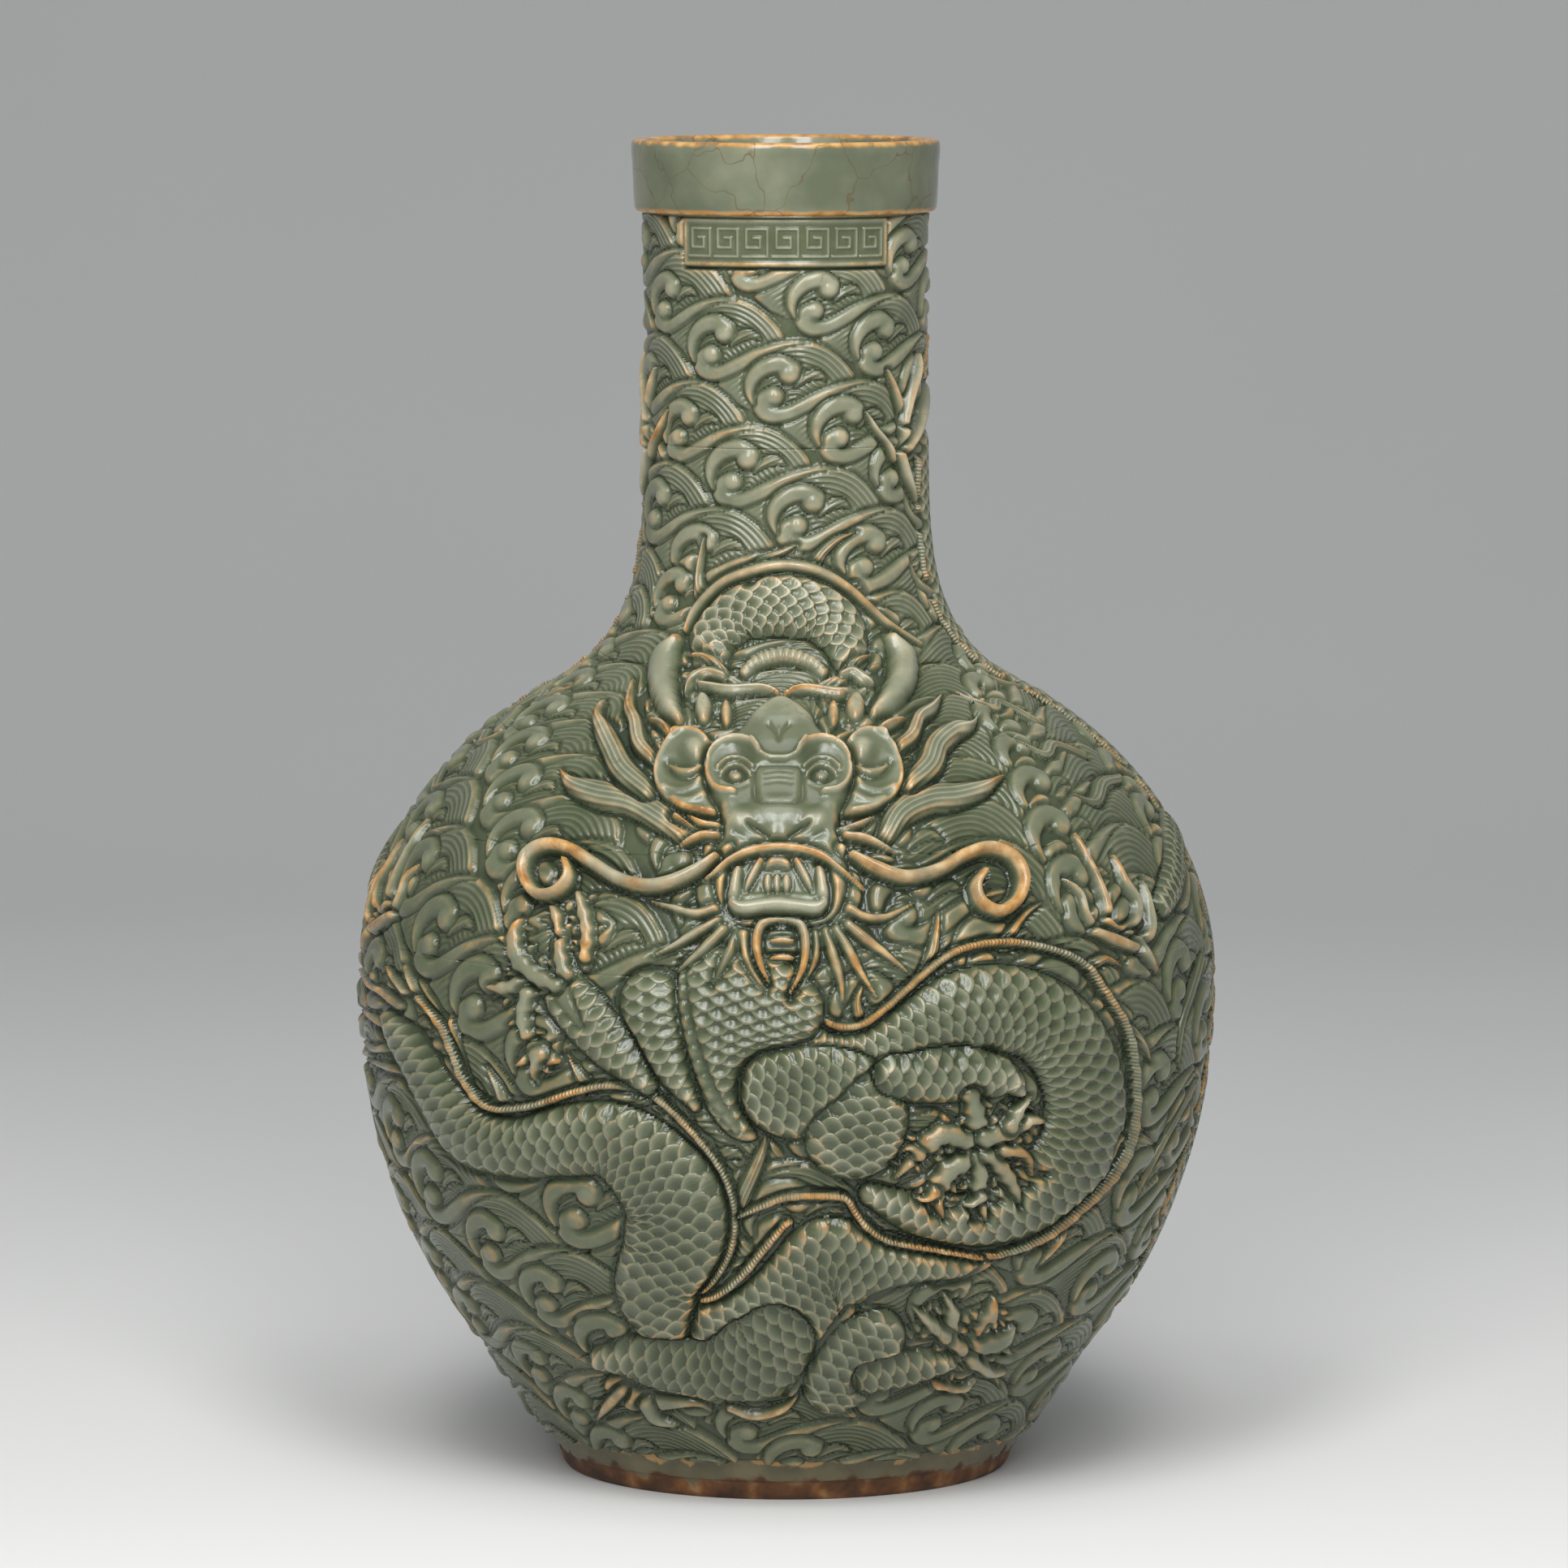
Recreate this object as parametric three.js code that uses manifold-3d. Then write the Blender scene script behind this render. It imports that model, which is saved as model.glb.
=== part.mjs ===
// A celadon celestial-globe vase: a round belly under a tall straight neck, with dragons and waves in relief.
// The wall is thrown in rings that are luted together with slip. The dragons are sprigs luted onto the wall.
// Millimetres, +Z up, the origin at the centre of the foot, the front dragon facing -Y.
import * as THREE from "three";
import Module from "manifold-3d";

const wasm = await Module();
wasm.setup();

// Driving sizes of the wall.
const FOOT_HEIGHT = 13.5;
const FOOT_TOP_RADIUS = 73.6;
const FOOT_TAPER = 4.6;
const FOOT_BOTTOM_RADIUS = FOOT_TOP_RADIUS - FOOT_TAPER;
const FOOT_WALL = 13.6;
const FOOT_INNER_RADIUS = FOOT_TOP_RADIUS - FOOT_WALL;
const FOOT_CHAMFER = 1.4;
const FLOOR_THICKNESS = 7;
const BOWL_STEP = 1.4;
const BOWL_BOTTOM_RADIUS = FOOT_TOP_RADIUS + BOWL_STEP;
const TAPER_TOP_Z = 40;
const BELLY_RADIUS = 129.5;
const BELLY_Z = 150;
const BELLY_DROP = 157.5;
const BELLY_RISE = 107.5;
const SHOULDER_TOP_Z = 240;
const NECK_RADIUS = 40;
const NECK_FLARE = 1.4;
const NECK_TOP_Z = 386;
const WALL_THICKNESS = 6;
const RIM_HEIGHT = 22;
const RIM_RADIUS = 47.2;
const RIM_TAPER = 1.4;
const RIM_LIP_ROUND = 1.6;
const MOUTH_RADIUS = 42;
const MOUTH_DEPTH = 15;
const MOUTH_LEDGE = 1;
const TABLET_HALF_ANGLE = 45;
const TABLET_HEIGHT = 14.5;
const TABLET_THICKNESS = 2.2;
const TABLET_DROP = 1;

// Clearances, and where the thrown rings meet.
const SLIP = 0.3;
const SPRIG_BURY = 3;
const SPRIG_EDGE = 2.1;
const CROWN_SHARE = 0.45;
const NARROWEST = 0.8;
const SHARPEST = 0.12;
const CUTTER_TOP = 9;
const CUTTER_BOTTOM = -1.5;
const NARROW_RELIEF = 0.25;
const CROWN_REACH = 0.6;
const BOSS_CROWN = [0.1, 0.85];
const HEAD_CROWN = [0.2, 0.9];
const TOE_HALF_ANGLE = 15;
const KNUCKLE_SHARE = 0.45;
const WHISKER_THINNING = 0.35;
const BOWL_JOINT_Z = 82;
const BELLY_JOINT_Z = 165;
const NECK_JOINT_Z = 250;

// Heights of the relief above the wall.
const BODY_RELIEF = 4.4;
const SIDE_RELIEF = 1.9;
const LIMB_RELIEF = 5.2;
const HEAD_RELIEF = 7.7;
const MANE_RELIEF = 2.8;
const HORN_RELIEF = 3.6;
const BEARD_RELIEF = 3.8;
const CLAW_RELIEF = 4.2;
const TALON_RELIEF = 3.2;
const WHISKER_RADIUS = 2.6;

// Waves round the neck and the shoulder, row under row, each row turned on from the one above it.
const WAVE_TOP_Z = NECK_TOP_Z - 30;
const WAVE_FIRST_AZIMUTH = -55;
const WAVE_LENGTH = 50;
const WAVE_PITCH = 12.7;
const WAVE_FEWEST = 5;
const WAVE_TURN = 0.38;
const WAVE_GROWTH = 0.22;
const WAVE_CREST = 1.9;
const WAVE_TROUGH = 0.5;
const WAVE_SWING = 3.4;
const CREST_SHARE = 0.43;
const TROUGH_SHARE = 0.3;
const WAVE_MARGIN = 6.5;

// The viewer in front of the vase, for whom the front dragon is drawn.
const VIEWER_DISTANCE = 2591;
const VIEWER_HEIGHT = 487;
const VIEWER_TILT = THREE.MathUtils.degToRad(6.1);
const DRAWING_DISTANCE = 2611;
const DRAWING_CENTRE_Y = 207.75;

// How finely curves are followed.
const LATHE_SEGMENTS = 48;
const LIP_ANGLES = [15, 45, 75];
const OVAL_CORNERS = 16;
const TABLET_SECTIONS = 12;
const SECTIONS_PER_POINT = 1.45;
const SECTIONS_ROUND_A_CURL = 1.4;
const FIT_STEP = 0.01;
const SIGHT_START = 1.05;
const SIGHT_STEPS = 60;
const SIGHT_HALVINGS = 24;

const SIZES = {
  footHeight: FOOT_HEIGHT,
  bowlBottomRadius: BOWL_BOTTOM_RADIUS,
  taperTopZ: TAPER_TOP_Z,
  bellyRadius: BELLY_RADIUS,
  bellyZ: BELLY_Z,
  bellyDrop: BELLY_DROP,
  bellyRise: BELLY_RISE,
  shoulderTopZ: SHOULDER_TOP_Z,
  neckRadius: NECK_RADIUS,
  neckFlare: NECK_FLARE,
  neckTopZ: NECK_TOP_Z,
};

// The globe that the dragons are drawn on. Another wall carries them at the same angles and shares of height.
const DRAWN_ON = {
  footHeight: 13.5,
  bowlBottomRadius: 75,
  taperTopZ: 40,
  bellyRadius: 129.5,
  bellyZ: 150,
  bellyDrop: 157.5,
  bellyRise: 107.5,
  shoulderTopZ: 240,
  neckRadius: 40,
  neckFlare: 1.4,
  neckTopZ: 386,
};

// Outer radius at a height: a straight taper, two quarter ellipses, and a neck on the same tangent.
function wallRadius(z, s = SIZES) {
  const ellipse = (h) => {
    const half = h < s.bellyZ ? s.bellyDrop : s.bellyRise;
    return s.bellyRadius * Math.sqrt(Math.max(0, 1 - ((h - s.bellyZ) / half) ** 2));
  };
  if (z < s.taperTopZ) {
    const share = (z - s.footHeight) / (s.taperTopZ - s.footHeight);
    return s.bowlBottomRadius + (ellipse(s.taperTopZ) - s.bowlBottomRadius) * share;
  }
  if (z <= s.shoulderTopZ) return ellipse(z);
  const shoulderRadius = ellipse(s.shoulderTopZ);
  const slope = (s.bellyRadius ** 2 * (s.shoulderTopZ - s.bellyZ)) / (s.bellyRise ** 2 * shoulderRadius);
  const swell = shoulderRadius - s.neckRadius;
  const share = (z - s.shoulderTopZ) / (s.neckTopZ - s.shoulderTopZ);
  return s.neckRadius + s.neckFlare * share + swell * Math.exp((-slope / swell) * (z - s.shoulderTopZ));
}

function wallSlope(z) {
  return (wallRadius(z + FIT_STEP) - wallRadius(z - FIT_STEP)) / (2 * FIT_STEP);
}

function innerRadius(z) {
  return wallRadius(z) - WALL_THICKNESS * Math.hypot(1, wallSlope(z));
}

// A point over the wall: azimuth in degrees from the front towards +X, and lift along the wall's normal.
function wallPoint(azimuth, z, lift) {
  const slope = wallSlope(z);
  const unit = 1 / Math.hypot(1, slope);
  const radius = wallRadius(z) + lift * unit;
  const angle = THREE.MathUtils.degToRad(azimuth);
  return new THREE.Vector3(radius * Math.sin(angle), -radius * Math.cos(angle), z - lift * slope * unit);
}

// The same share of the way between two landmarks of the wall, on the vase as on the drawn globe.
function heightOnVase(z) {
  const from = [DRAWN_ON.footHeight, DRAWN_ON.bellyZ, DRAWN_ON.shoulderTopZ, DRAWN_ON.neckTopZ];
  const to = [SIZES.footHeight, SIZES.bellyZ, SIZES.shoulderTopZ, SIZES.neckTopZ];
  const i = z < from[1] ? 0 : z < from[2] ? 1 : 2;
  return to[i] + ((z - from[i]) * (to[i + 1] - to[i])) / (from[i + 1] - from[i]);
}

// Where a point of the front view, in millimetres right of the axis and above the foot, lies on the wall.
function seen(x, y) {
  const cos = Math.cos(VIEWER_TILT);
  const sin = Math.sin(VIEWER_TILT);
  const up = y - DRAWING_CENTRE_Y;
  const at = (t) => ({
    x: x * t,
    y: -VIEWER_DISTANCE + (DRAWING_DISTANCE * cos + up * sin) * t,
    z: VIEWER_HEIGHT + (up * cos - DRAWING_DISTANCE * sin) * t,
  });
  const inside = (t) => {
    const p = at(t);
    return Math.hypot(p.x, p.y) < wallRadius(p.z, DRAWN_ON);
  };
  const front = 1 - (SIGHT_START * DRAWN_ON.bellyRadius) / DRAWING_DISTANCE;
  let far = front;
  for (let i = 1; i <= SIGHT_STEPS && !inside(far); i++) far = front + ((1 - front) * i) / SIGHT_STEPS;
  let near = far - (1 - front) / SIGHT_STEPS;
  for (let i = 0; i < SIGHT_HALVINGS; i++) {
    const middle = (near + far) / 2;
    if (inside(middle)) far = middle;
    else near = middle;
  }
  const p = at(far);
  return { azimuth: THREE.MathUtils.radToDeg(Math.atan2(p.x, -p.y)), z: heightOnVase(p.z) };
}

// Two ways to say where a sprig lies: on the front view, turned round the axis, or round the belly by height.
const onFront = (turn) => (x, y) => {
  const p = seen(x, y);
  return { azimuth: p.azimuth + turn, z: p.z };
};
const onSide = (side, turn) => (u, z) => ({
  azimuth: side * (THREE.MathUtils.radToDeg(u / DRAWN_ON.bellyRadius) + turn),
  z: heightOnVase(z),
});

// A closed surface through rings of points. Fans to two middle points close it, or its last ring joins its first.
function loft(rings, ...middles) {
  const n = rings[0].length;
  const points = [...rings.flat(), ...middles];
  const spans = middles.length > 0 ? rings.length - 1 : rings.length;
  const index = [];
  for (let i = 0; i < spans; i++)
    for (let j = 0; j < n; j++) {
      const k = (j + 1) % n;
      const here = i * n;
      const next = ((i + 1) % rings.length) * n;
      index.push(here + j, here + k, next + k, here + j, next + k, next + j);
    }
  if (middles.length > 0) {
    const [first, last] = [points.length - 2, points.length - 1];
    for (let j = 0; j < n; j++) {
      const k = (j + 1) % n;
      index.push(first, k, j, last, spans * n + j, spans * n + k);
    }
  }
  return solidFrom(new Float32Array(points.flatMap((p) => p.toArray())), new Uint32Array(index));
}

// A solid with its faces pointing out.
function solidFrom(vertProperties, triVerts) {
  const make = () => new wasm.Manifold(new wasm.Mesh({ numProp: 3, vertProperties, triVerts }));
  const solid = make();
  if (solid.volume() > 0) return solid;
  for (let i = 0; i < triVerts.length; i += 3)
    [triVerts[i + 1], triVerts[i + 2]] = [triVerts[i + 2], triVerts[i + 1]];
  return make();
}

const middleOf = (ring) => ring.reduce((sum, p) => sum.add(p), new THREE.Vector3()).divideScalar(ring.length);

// A limb, coil or lock: a crowned strap along points [x, y, half width], on the wall by the given placing.
// Its cutter is the same strap, a slip joint wider and longer, and taller than any relief.
function strap(points, relief, place, steps = SECTIONS_PER_POINT * (points.length - 1)) {
  const curve = new THREE.CatmullRomCurve3(
    points.map(([x, y, half]) => new THREE.Vector3(x, y, half)),
    false,
    "centripetal",
  );
  const last = Math.ceil(steps);
  const sections = Array.from({ length: last + 1 }, (_, i) => {
    const p = curve.getPoint(i / last);
    const along = curve.getTangent(i / last).setZ(0).normalize();
    return { p, along, half: Math.max(p.z, NARROWEST) };
  });
  const corner = ({ p, along }, forward, reach, lift) => {
    const at = place(p.x + along.x * forward - along.y * reach, p.y + along.y * forward + along.x * reach);
    return wallPoint(at.azimuth, at.z, lift);
  };
  const body = sections.map((s) => {
    const crown = SPRIG_EDGE + Math.min(relief, NARROW_RELIEF * relief + s.half);
    return [
      corner(s, 0, -s.half, SPRIG_EDGE),
      corner(s, 0, -CROWN_SHARE * s.half, crown),
      corner(s, 0, CROWN_SHARE * s.half, crown),
      corner(s, 0, s.half, SPRIG_EDGE),
      corner(s, 0, s.half, -SPRIG_BURY),
      corner(s, 0, -s.half, -SPRIG_BURY),
    ];
  });
  const cutter = sections.map((s, i) => {
    const forward = i === 0 ? -SLIP : i === last ? SLIP : 0;
    const reach = s.half + SLIP;
    const across = [-reach, -CROWN_SHARE * s.half, CROWN_SHARE * s.half, reach];
    return [
      ...across.map((r) => corner(s, forward, r, CUTTER_TOP)),
      ...across.reverse().map((r) => corner(s, forward, r, CUTTER_BOTTOM)),
    ];
  });
  return { body: loftedEnds(body), cutter: loftedEnds(cutter) };
}

const loftedEnds = (rings) => loft(rings, middleOf(rings[0]), middleOf(rings.at(-1)));

// Moves each side of an outline, given anticlockwise, out by the slip joint.
function offsetOutline(outline) {
  return outline.map((corner, i) => {
    const point = new THREE.Vector2(...corner);
    const back = point.clone().sub(new THREE.Vector2(...outline.at(i - 1))).normalize();
    const on = new THREE.Vector2(...outline[(i + 1) % outline.length]).sub(point).normalize();
    const out = new THREE.Vector2(back.y + on.y, -back.x - on.x).normalize();
    const share = Math.max(out.x * on.y - out.y * on.x, SHARPEST);
    return point.addScaledVector(out, SLIP / share).toArray();
  });
}

// A boss of any outline that its centre sees whole, given anticlockwise: a head, a thigh or an open claw.
function boss(centre, outline, relief, place, [edge, crown] = BOSS_CROWN) {
  const ringAt = (corners, share, lift) =>
    corners.map(([x, y]) => {
      const at = place(centre[0] + (x - centre[0]) * share, centre[1] + (y - centre[1]) * share);
      return wallPoint(at.azimuth, at.z, lift);
    });
  const at = place(...centre);
  const middle = (lift) => wallPoint(at.azimuth, at.z, lift);
  const body = [
    ringAt(outline, 1, -SPRIG_BURY),
    ringAt(outline, 1, SPRIG_EDGE + relief * edge),
    ringAt(outline, CROWN_REACH, SPRIG_EDGE + relief * crown),
  ];
  const wide = offsetOutline(outline);
  const cutter = [ringAt(wide, 1, CUTTER_BOTTOM), ringAt(wide, 1, CUTTER_TOP)];
  return {
    body: loft(body, middle(-SPRIG_BURY), middle(SPRIG_EDGE + relief)),
    cutter: loft(cutter, middle(CUTTER_BOTTOM), middle(CUTTER_TOP)),
  };
}

function oval([x, y], [halfWidth, halfHeight]) {
  return Array.from({ length: OVAL_CORNERS }, (_, i) => {
    const a = (2 * Math.PI * i) / OVAL_CORNERS;
    return [x + halfWidth * Math.cos(a), y + halfHeight * Math.sin(a)];
  });
}

// An open claw: toes that fan out from a palm, each [angle in degrees, reach in millimetres].
function claw({ palm: [x, y], radius, toes }, relief, place) {
  const outline = toes.flatMap(([angle, reach], i) => {
    const next = toes[(i + 1) % toes.length][0] + (i + 1 === toes.length ? 360 : 0);
    const point = (degrees, r) => {
      const a = THREE.MathUtils.degToRad(degrees);
      return [x + r * Math.cos(a), y + r * Math.sin(a)];
    };
    const knuckle = radius + (reach - radius) * KNUCKLE_SHARE;
    return [
      point(angle - TOE_HALF_ANGLE, knuckle),
      point(angle, reach),
      point(angle + TOE_HALF_ANGLE, knuckle),
      point((angle + next) / 2, radius),
    ];
  });
  return boss([x, y], outline, relief, place);
}

// A whisker: a rope along the wall, thinner towards its curl.
function whisker(points, place) {
  const thinner = (i) => 1 - (WHISKER_THINNING * i) / points.length;
  const rope = points.map(([x, y], i) => [x, y, WHISKER_RADIUS * thinner(i)]);
  return strap(rope, 2 * WHISKER_RADIUS - SPRIG_EDGE, place, SECTIONS_ROUND_A_CURL * points.length);
}

// The coiling dragon on the front view: [x, y] in millimetres, and the half width where a point has one.
const COILING = {
  face: [-1.5, 195],
  head: [
    [20, 168], [22, 180], [20, 192], [22, 203], [21, 212], [14, 221], [9, 231], [-1.5, 235], [-12, 231],
    [-17, 221], [-24, 212], [-25, 203], [-23, 192], [-25, 180], [-23, 168], [-12, 164], [-1.5, 163], [9, 164],
  ],
  chin: [-1, 158],
  beard: [
    [-20, 171], [-40.2, 170.5], [-22, 160], [-39.5, 154.7], [-20, 154.6], [-32.7, 149.2], [-17, 151.5],
    [-21.5, 146.7], [-8, 149], [-5.2, 143.5], [-1, 148], [2.2, 141.7], [5, 147.5], [17.7, 140.5],
    [13, 149], [28.5, 142.2], [17, 151.8], [37.2, 150.5], [22, 158], [39.7, 170.5], [17, 171],
  ],
  leftEar: [-31, 205],
  rightEar: [28.5, 205],
  leftHorn: [[-30.5, 226, 4.5], [-35.5, 238, 5.2], [-33.5, 250, 3]],
  rightHorn: [[27.5, 226, 4.5], [32.5, 238, 5.2], [30.5, 250, 3]],
  leftWhisker: [
    [-23, 182], [-34, 177.5], [-45, 175.5], [-56, 180.5], [-64, 187],
    [-71, 188.5], [-77.5, 184], [-78.5, 177], [-73, 172], [-67, 175],
  ],
  rightWhisker: [
    [21, 182], [30, 179.5], [37, 179], [46, 183], [56, 187],
    [65, 186.5], [70.5, 180], [68.5, 172.5], [62, 170], [57.5, 174],
  ],
  leftMane: [[-34, 195, 5], [-49, 203.5, 6], [-64, 208, 4], [-68, 210, 1]],
  rightMane: [[34, 195, 5], [46, 203, 6], [60, 206, 4], [66, 209.5, 1]],
  rightClaw: {
    palm: [56, 92],
    radius: 9,
    toes: [[15, 20], [75, 20], [150, 20], [205, 24], [255, 19], [310, 20]],
  },
  leftClaw: { palm: [-75, 152], radius: 8, toes: [[40, 19], [100, 20], [165, 20], [205, 21], [262, 22]] },
  rightHindClaw: { palm: [56, 40], radius: 5, toes: [[10, 15], [65, 12], [110, 11], [150, 14], [265, 10]] },
  leftForeleg: [[-42, 146, 6], [-43, 130, 8.5], [-53, 126, 8], [-60.5, 138, 5]],
  rightForeleg: [[38.5, 117, 9], [48, 117, 9], [61, 121, 7.5], [69.5, 116, 5]],
  thigh: [20, 106],
  leftHindLeg: [[-49, 29, 6], [-34, 27, 8], [-17, 28, 10.5], [-1.5, 33, 9]],
  rightHindLeg: [[11, 26, 7], [19, 37, 8.5], [32, 30, 6.5], [46, 29, 5]],
  hip: [[-10, 46, 10], [-2, 54, 12.5], [10, 62, 12], [24, 63, 9], [38, 61.5, 5], [50, 61, 2.5]],
  leftCoil: [
    [-118, 134, 4], [-108, 123, 6], [-99, 109, 8], [-88, 98.5, 9.5], [-75, 98.5, 10.5], [-61, 100.5, 12],
    [-48, 97.5, 13.5], [-37.5, 87.5, 14.5], [-34.5, 73, 15], [-36.5, 58, 14.5], [-33, 44, 7],
  ],
  rightCoil: [
    [4, 128, 6], [14, 126, 8], [28, 125.5, 9.5], [42, 133, 12], [55, 141, 12.5], [70, 142, 13.5],
    [83, 135, 13.5], [91, 121, 13], [91, 105, 12.5], [85, 90, 11], [73, 80, 9.5], [58, 75, 8.5],
    [43, 76.5, 7.5], [31, 80, 5],
  ],
  chest: [[-15, 156, 11], [-15, 142, 12.5], [-12, 126, 11], [-7, 112, 7]],
  arch: [
    [-26, 238, 10], [-22, 250, 12.5], [-11, 258, 13.5], [0, 259.5, 13.5], [11, 257, 13.5], [21, 249, 12.5],
    [24, 238, 10],
  ],
};
const EAR_SIZE = [6, 14];
const THIGH_SIZE = [15.5, 18.5];

function earsAndHorns(prefix, place) {
  const ear = (middle) => boss(middle, oval(middle, EAR_SIZE), MANE_RELIEF, place);
  return {
    [`${prefix}_left_ear`]: ear(COILING.leftEar),
    [`${prefix}_right_ear`]: ear(COILING.rightEar),
    [`${prefix}_left_horn`]: strap(COILING.leftHorn, HORN_RELIEF, place),
    [`${prefix}_right_horn`]: strap(COILING.rightHorn, HORN_RELIEF, place),
  };
}

// The coiling dragon, from the pieces that lie on top to those beneath.
function coilingDragon(prefix, place) {
  const c = COILING;
  return {
    [`${prefix}_left_whisker`]: whisker(c.leftWhisker, place),
    [`${prefix}_right_whisker`]: whisker(c.rightWhisker, place),
    [`${prefix}_head`]: boss(c.face, c.head, HEAD_RELIEF, place, HEAD_CROWN),
    [`${prefix}_beard`]: boss(c.chin, c.beard, BEARD_RELIEF, place),
    [`${prefix}_left_mane`]: strap(c.leftMane, MANE_RELIEF, place),
    [`${prefix}_right_mane`]: strap(c.rightMane, MANE_RELIEF, place),
    [`${prefix}_right_claw`]: claw(c.rightClaw, CLAW_RELIEF, place),
    [`${prefix}_left_claw`]: claw(c.leftClaw, CLAW_RELIEF, place),
    [`${prefix}_left_foreleg`]: strap(c.leftForeleg, LIMB_RELIEF, place),
    [`${prefix}_right_thigh`]: boss(c.thigh, oval(c.thigh, THIGH_SIZE), LIMB_RELIEF, place),
    [`${prefix}_right_foreleg`]: strap(c.rightForeleg, LIMB_RELIEF, place),
    [`${prefix}_left_hind_leg`]: strap(c.leftHindLeg, LIMB_RELIEF, place),
    [`${prefix}_right_hind_leg`]: strap(c.rightHindLeg, LIMB_RELIEF, place),
    [`${prefix}_right_hind_claw`]: claw(c.rightHindClaw, CLAW_RELIEF, place),
    [`${prefix}_hip`]: strap(c.hip, BODY_RELIEF, place),
    [`${prefix}_left_coil`]: strap(c.leftCoil, BODY_RELIEF, place),
    [`${prefix}_right_coil`]: strap(c.rightCoil, BODY_RELIEF, place),
    [`${prefix}_chest`]: strap(c.chest, BODY_RELIEF, place),
    [`${prefix}_arch`]: strap(c.arch, BODY_RELIEF, place),
  };
}

// The climbing dragon: [millimetres round the belly, height], and the half width in belly millimetres.
const CLIMBING = {
  head: [292, 331],
  neckClaw: { palm: [124, 324], radius: 9, toes: [[60, 22], [95, 24], [130, 22], [170, 20], [300, 14]] },
  bellyClaw: { palm: [140, 178], radius: 7, toes: [[70, 17], [110, 20], [150, 19], [300, 12]] },
  neckCoil: [[248, 338, 22], [215, 336, 26], [190, 322, 27], [182, 300, 27], [178, 278, 26], [186, 256, 21]],
  bellyCoil: [
    [190, 246, 17], [203, 232, 14], [204, 205, 13], [205, 175, 13.5], [204, 145, 14],
    [196, 115, 13.5], [182, 92, 13], [190, 68, 12], [212, 52, 9], [236, 42, 5],
  ],
};
const CLIMBING_HEAD_SIZE = [34, 17];
// How much further round the vase the left one climbs, in degrees.
const LEFT_FURTHER_ROUND = 22;

function climbingDragon(prefix, place) {
  const c = CLIMBING;
  return {
    [`${prefix}_head`]: boss(c.head, oval(c.head, CLIMBING_HEAD_SIZE), SIDE_RELIEF, place),
    [`${prefix}_neck_claw`]: claw(c.neckClaw, TALON_RELIEF, place),
    [`${prefix}_belly_claw`]: claw(c.bellyClaw, TALON_RELIEF, place),
    [`${prefix}_neck_coil`]: strap(c.neckCoil, SIDE_RELIEF, place),
    [`${prefix}_belly_coil`]: strap(c.bellyCoil, SIDE_RELIEF, place),
  };
}

// Cuts each sprig off at the wall, and round the sprigs that lie on it, with a slip joint between them.
// Slivers that the cuts leave loose are dropped.
function laidOver(sprigs, wall) {
  const done = {};
  const above = [];
  for (const [name, { body, cutter }] of Object.entries(sprigs)) {
    const left = above.reduce((solid, other) => solid.subtract(other), body.subtract(wall));
    done[name] = left.decompose().reduce((a, b) => (a.volume() > b.volume() ? a : b));
    above.push(cutter);
  }
  return done;
}

// Each row of waves: its height, how many go round, where the first starts, and how far its crests swing.
function waveRows() {
  const rows = [];
  let start = WAVE_FIRST_AZIMUTH;
  let z = WAVE_TOP_Z;
  while (z > BELLY_JOINT_Z) {
    const radius = wallRadius(z);
    const growth = 1 + (WAVE_GROWTH * (radius - NECK_RADIUS)) / (BELLY_RADIUS - NECK_RADIUS);
    const count = Math.max(WAVE_FEWEST, Math.round((2 * Math.PI * radius) / (WAVE_LENGTH * growth)));
    const steepness = Math.hypot(1, wallSlope(z));
    rows.push({ z, start, count, swing: (WAVE_SWING * growth) / steepness });
    start += (360 * WAVE_TURN) / count;
    z -= (WAVE_PITCH * growth) / steepness;
  }
  return rows;
}

function crestHeight({ z, start, count, swing }, azimuth) {
  const turn = THREE.MathUtils.degToRad((azimuth - start) * count) - 2 * Math.PI * CREST_SHARE;
  return z + swing * Math.cos(turn);
}

function latheGeometry(profile) {
  const points = profile.map(([r, z]) => new THREE.Vector2(r, z));
  if (profile[0][0] > 0) points.push(points[0]);
  return new THREE.LatheGeometry(points, LATHE_SEGMENTS).rotateX(Math.PI / 2);
}

// Heights where the outside and the inside of each ring bend. The last of one ring is the first of the next.
const RINGS = {
  lower_bowl: {
    outside: [FOOT_HEIGHT, TAPER_TOP_Z, 60, BOWL_JOINT_Z],
    inside: [BOWL_JOINT_Z, 45, FOOT_HEIGHT],
  },
  belly_ring: {
    outside: [BOWL_JOINT_Z, 103, 124, 145, BELLY_JOINT_Z],
    inside: [BELLY_JOINT_Z, 135, 108, BOWL_JOINT_Z],
  },
  shoulder_dome: {
    outside: [BELLY_JOINT_Z, NECK_JOINT_Z],
    inside: [NECK_JOINT_Z, 238, 222, 200, BELLY_JOINT_Z],
    waved: true,
  },
  neck_tube: {
    outside: [NECK_JOINT_Z, NECK_TOP_Z],
    inside: [NECK_TOP_Z, 300, 268, NECK_JOINT_Z],
    waved: true,
  },
};

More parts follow.
